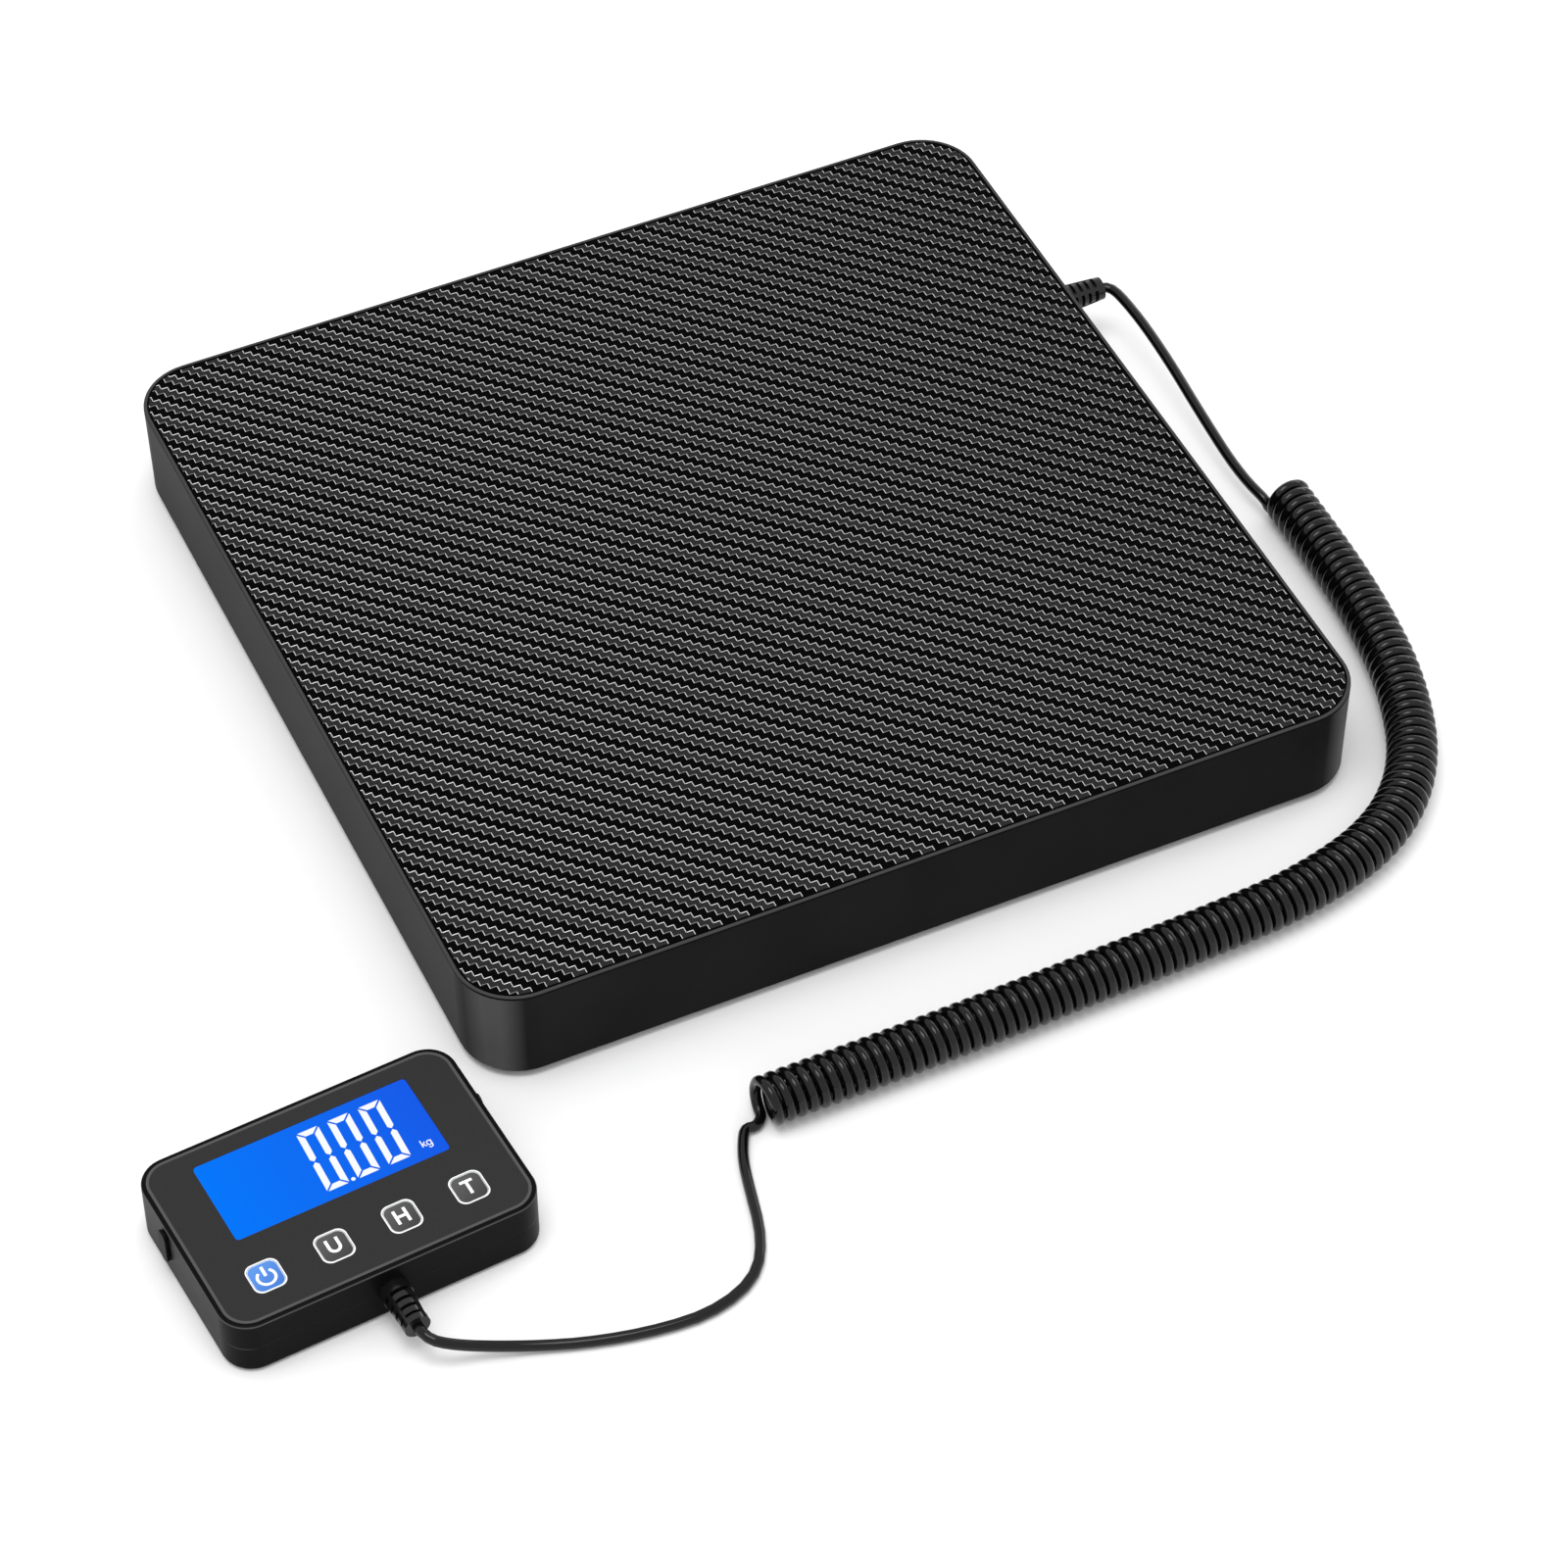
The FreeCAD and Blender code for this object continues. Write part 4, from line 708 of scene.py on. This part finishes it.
# ---------------------------------------------------------------------------------------------------------
# The curly cord
# ---------------------------------------------------------------------------------------------------------
# The route's points, in millimetres: the lead out of the platform, the coil's middle line, and the lead
# into the display.
PLATFORM_LEAD = [
    (168.9, 71.0, 20.0), (172.2, 71.0, 20.0), (173.7, 61.5, 19.6), (174.6, 48.0, 18.5), (174.8, 30.0, 16.4),
    (174.4, 14.0, 14.2), (174.3, -1.0, 12.1), (174.4, -13.0, 10.4), (175.4, -24.0, 9.0),
]
COIL_LINE = [
    (183.8, -33.0, 8.3), (183.8, -62.0, 8.3), (182.0, -92.0, 8.3), (177.0, -124.0, 8.3),
    (164.0, -157.0, 8.3), (141.0, -178.5, 8.3), (108.0, -188.4, 8.3), (74.0, -190.6, 8.3),
    (38.0, -191.8, 8.3), (0.0, -193.0, 8.3), (-40.0, -193.8, 8.3), (-79.0, -193.8, 8.3),
]
DISPLAY_LEAD = [
    (-82.1, -196.8, 1.9), (-85.5, -195.6, 1.9), (-88.8, -201.8, 1.8), (-91.1, -207.5, 1.8),
    (-93.4, -216.5, 1.8), (-97.6, -235.0, 1.8), (-105.5, -248.0, 1.8), (-122.0, -254.0, 1.8),
    (-141.0, -252.6, 1.8), (-159.0, -248.4, 1.8), (-174.0, -243.0, 2.2), (-187.0, -239.0, 4.6),
    (-196.6, -236.9, 8.4), (-202.55, -233.6, 10.5), (-202.95, -228.9, 10.5),
]
WIRE = 3.5 * MM
TURN_RADIUS = 6.45 * MM
TURNS = 98
POINTS_PER_TURN = 16


def nurbs(name, points, resolution):
    """A curve object with one smooth open spline of order 3 whose control points are the given points."""
    curve = bpy.data.curves.new(name, "CURVE")
    curve.dimensions = "3D"
    curve.resolution_u = resolution
    spline = curve.splines.new("NURBS")
    spline.points.add(len(points) - 1)
    spline.points.foreach_set("co", np.c_[points, np.ones(len(points))].ravel())
    spline.order_u = 3
    spline.use_endpoint_u = True
    made = bpy.data.objects.new(name, curve)
    bpy.context.scene.collection.objects.link(made)
    return made


def line_points(made):
    """The smooth line of a curve object, as an array of points in order."""
    made.data.bevel_depth = 0.0
    mesh = bpy.data.meshes.new_from_object(made.evaluated_get(bpy.context.evaluated_depsgraph_get()))
    points = np.empty(len(mesh.vertices) * 3)
    mesh.vertices.foreach_get("co", points)
    bpy.data.meshes.remove(mesh)
    return points.reshape(-1, 3)


def helix_points(line):
    """Points of a right-handed helix about a line.

    At a distance along the line, t is its direction, n = t x Z is level, and the point is the line's point
    plus R (cos a n - sin a Z), where a grows evenly along the line from 0 to 98 turns and a quarter. The
    radius is divided by the share of it that a spline of order 3 keeps between points a 16th turn apart.
    """
    lengths = np.concatenate([[0], np.cumsum(np.linalg.norm(np.diff(line, axis=0), axis=1))])
    count = TURNS * POINTS_PER_TURN + POINTS_PER_TURN // 4 + 1
    along = np.linspace(0.0, lengths[-1], count)
    middle = np.stack([np.interp(along, lengths, line[:, n]) for n in range(3)], 1)
    heading = np.gradient(middle, axis=0)
    heading /= np.linalg.norm(heading, axis=1)[:, None]
    level = np.cross(heading, [0.0, 0.0, 1.0])
    level /= np.linalg.norm(level, axis=1)[:, None]
    angle = np.arange(count) * 2 * math.pi / POINTS_PER_TURN
    kept = 0.75 + 0.25 * math.cos(2 * math.pi / POINTS_PER_TURN)
    radius = TURN_RADIUS / kept
    across = np.cos(angle)[:, None] * level
    upward = np.sin(angle)[:, None] * np.array([0.0, 0.0, 1.0])
    return middle + radius * (across - upward)


coil_axis = nurbs("coil_axis", np.array(COIL_LINE) * MM, 24)
turns = helix_points(line_points(coil_axis))
bpy.data.objects.remove(coil_axis)
cord_route = np.concatenate([np.array(PLATFORM_LEAD) * MM, turns, np.array(DISPLAY_LEAD) * MM])
cord_curve = nurbs("cord_line", cord_route, 3)
cord_path = line_points(cord_curve)
cord_curve.data.bevel_depth = WIRE / 2
cord_curve.data.bevel_resolution = 3
cord_curve.data.use_fill_caps = True
cord_mesh = bpy.data.meshes.new_from_object(cord_curve.evaluated_get(bpy.context.evaluated_depsgraph_get()))
cord_mesh.name = "curly_cord"
cord_mesh.materials.clear()
cord_mesh.materials.append(cord_jacket.material)
cord_mesh.polygons.foreach_set("use_smooth", np.ones(len(cord_mesh.polygons), bool))
bpy.data.objects.remove(cord_curve)
curly_cord = bpy.data.objects.new("curly_cord", cord_mesh)
bpy.context.scene.collection.objects.link(curly_cord)
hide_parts("cord_platform_lead", "cord_coil", "cord_display_lead")
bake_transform(curly_cord)


# ---------------------------------------------------------------------------------------------------------
# Studio: floor, light and camera
# ---------------------------------------------------------------------------------------------------------
def studio_floor():
    """A pale floor: flat round the scale, out to a wide square."""
    finish = Finish("studio_floor", (0.9, 0.9, 0.9), 0.9, Specular_IOR_Level=0.1)
    grain = finish.noise(50.0 * MM, 2.0)
    finish.put("Base Color", finish.mix(grain, (0.9, 0.9, 0.9), (0.91, 0.91, 0.91)))
    reach = 6.0
    low = -0.1 * MM
    corners = [(-reach, -reach, low), (reach, -reach, low), (reach, reach, low), (-reach, reach, low)]
    make_piece("studio_floor", corners, [[0, 1, 2, 3]], finish, smooth=False)


def area_light(name, at, aim, size, power):
    light = bpy.data.lights.new(name, "AREA")
    light.shape = "RECTANGLE"
    light.size, light.size_y = size
    light.energy = power
    made = bpy.data.objects.new(name, light)
    made.location = at
    made.rotation_euler = (Vector(aim) - Vector(at)).to_track_quat("-Z", "Y").to_euler()
    bpy.context.scene.collection.objects.link(made)


def studio_camera():
    """The camera on a sphere about its target, rolled a little about its own axis."""
    target = Vector((-16.988, -75.771, 3.0)) * MM
    azimuth, elevation, roll = (math.radians(angle) for angle in (-24.445, 47.441, -0.529))
    distance = 1698.186 * MM
    back = Vector((math.sin(azimuth) * math.cos(elevation), -math.cos(azimuth) * math.cos(elevation),
                   math.sin(elevation)))
    camera_data = bpy.data.cameras.new("studio_camera")
    camera_data.lens = 124.228
    camera_data.sensor_width = 36.0
    camera = bpy.data.objects.new("studio_camera", camera_data)
    right = Vector((0, 0, 1)).cross(back).normalized()
    up = back.cross(right)
    turn = Matrix((right, up, back)).transposed() @ Matrix.Rotation(roll, 3, "Z")
    camera.matrix_world = Matrix.Translation(target + back * distance) @ turn.to_4x4()
    bpy.context.scene.collection.objects.link(camera)
    bpy.context.scene.camera = camera


studio_floor()
world = bpy.data.worlds.new("studio_world")
world.use_nodes = True
background = world.node_tree.nodes["Background"]
background.inputs["Color"].default_value = (1.0, 1.0, 1.0, 1.0)
background.inputs["Strength"].default_value = 1.0
bpy.context.scene.world = world
bpy.context.scene.view_settings.view_transform = "Standard"
area_light("strip_right", (1.5, 0.7, 0.75), (0, -0.05, 0), (1.6, 0.14), 5.0)
area_light("soft_top", (-0.35, -0.3, 2.4), (0, -0.05, 0), (1.2, 1.2), 25.0)
studio_camera()
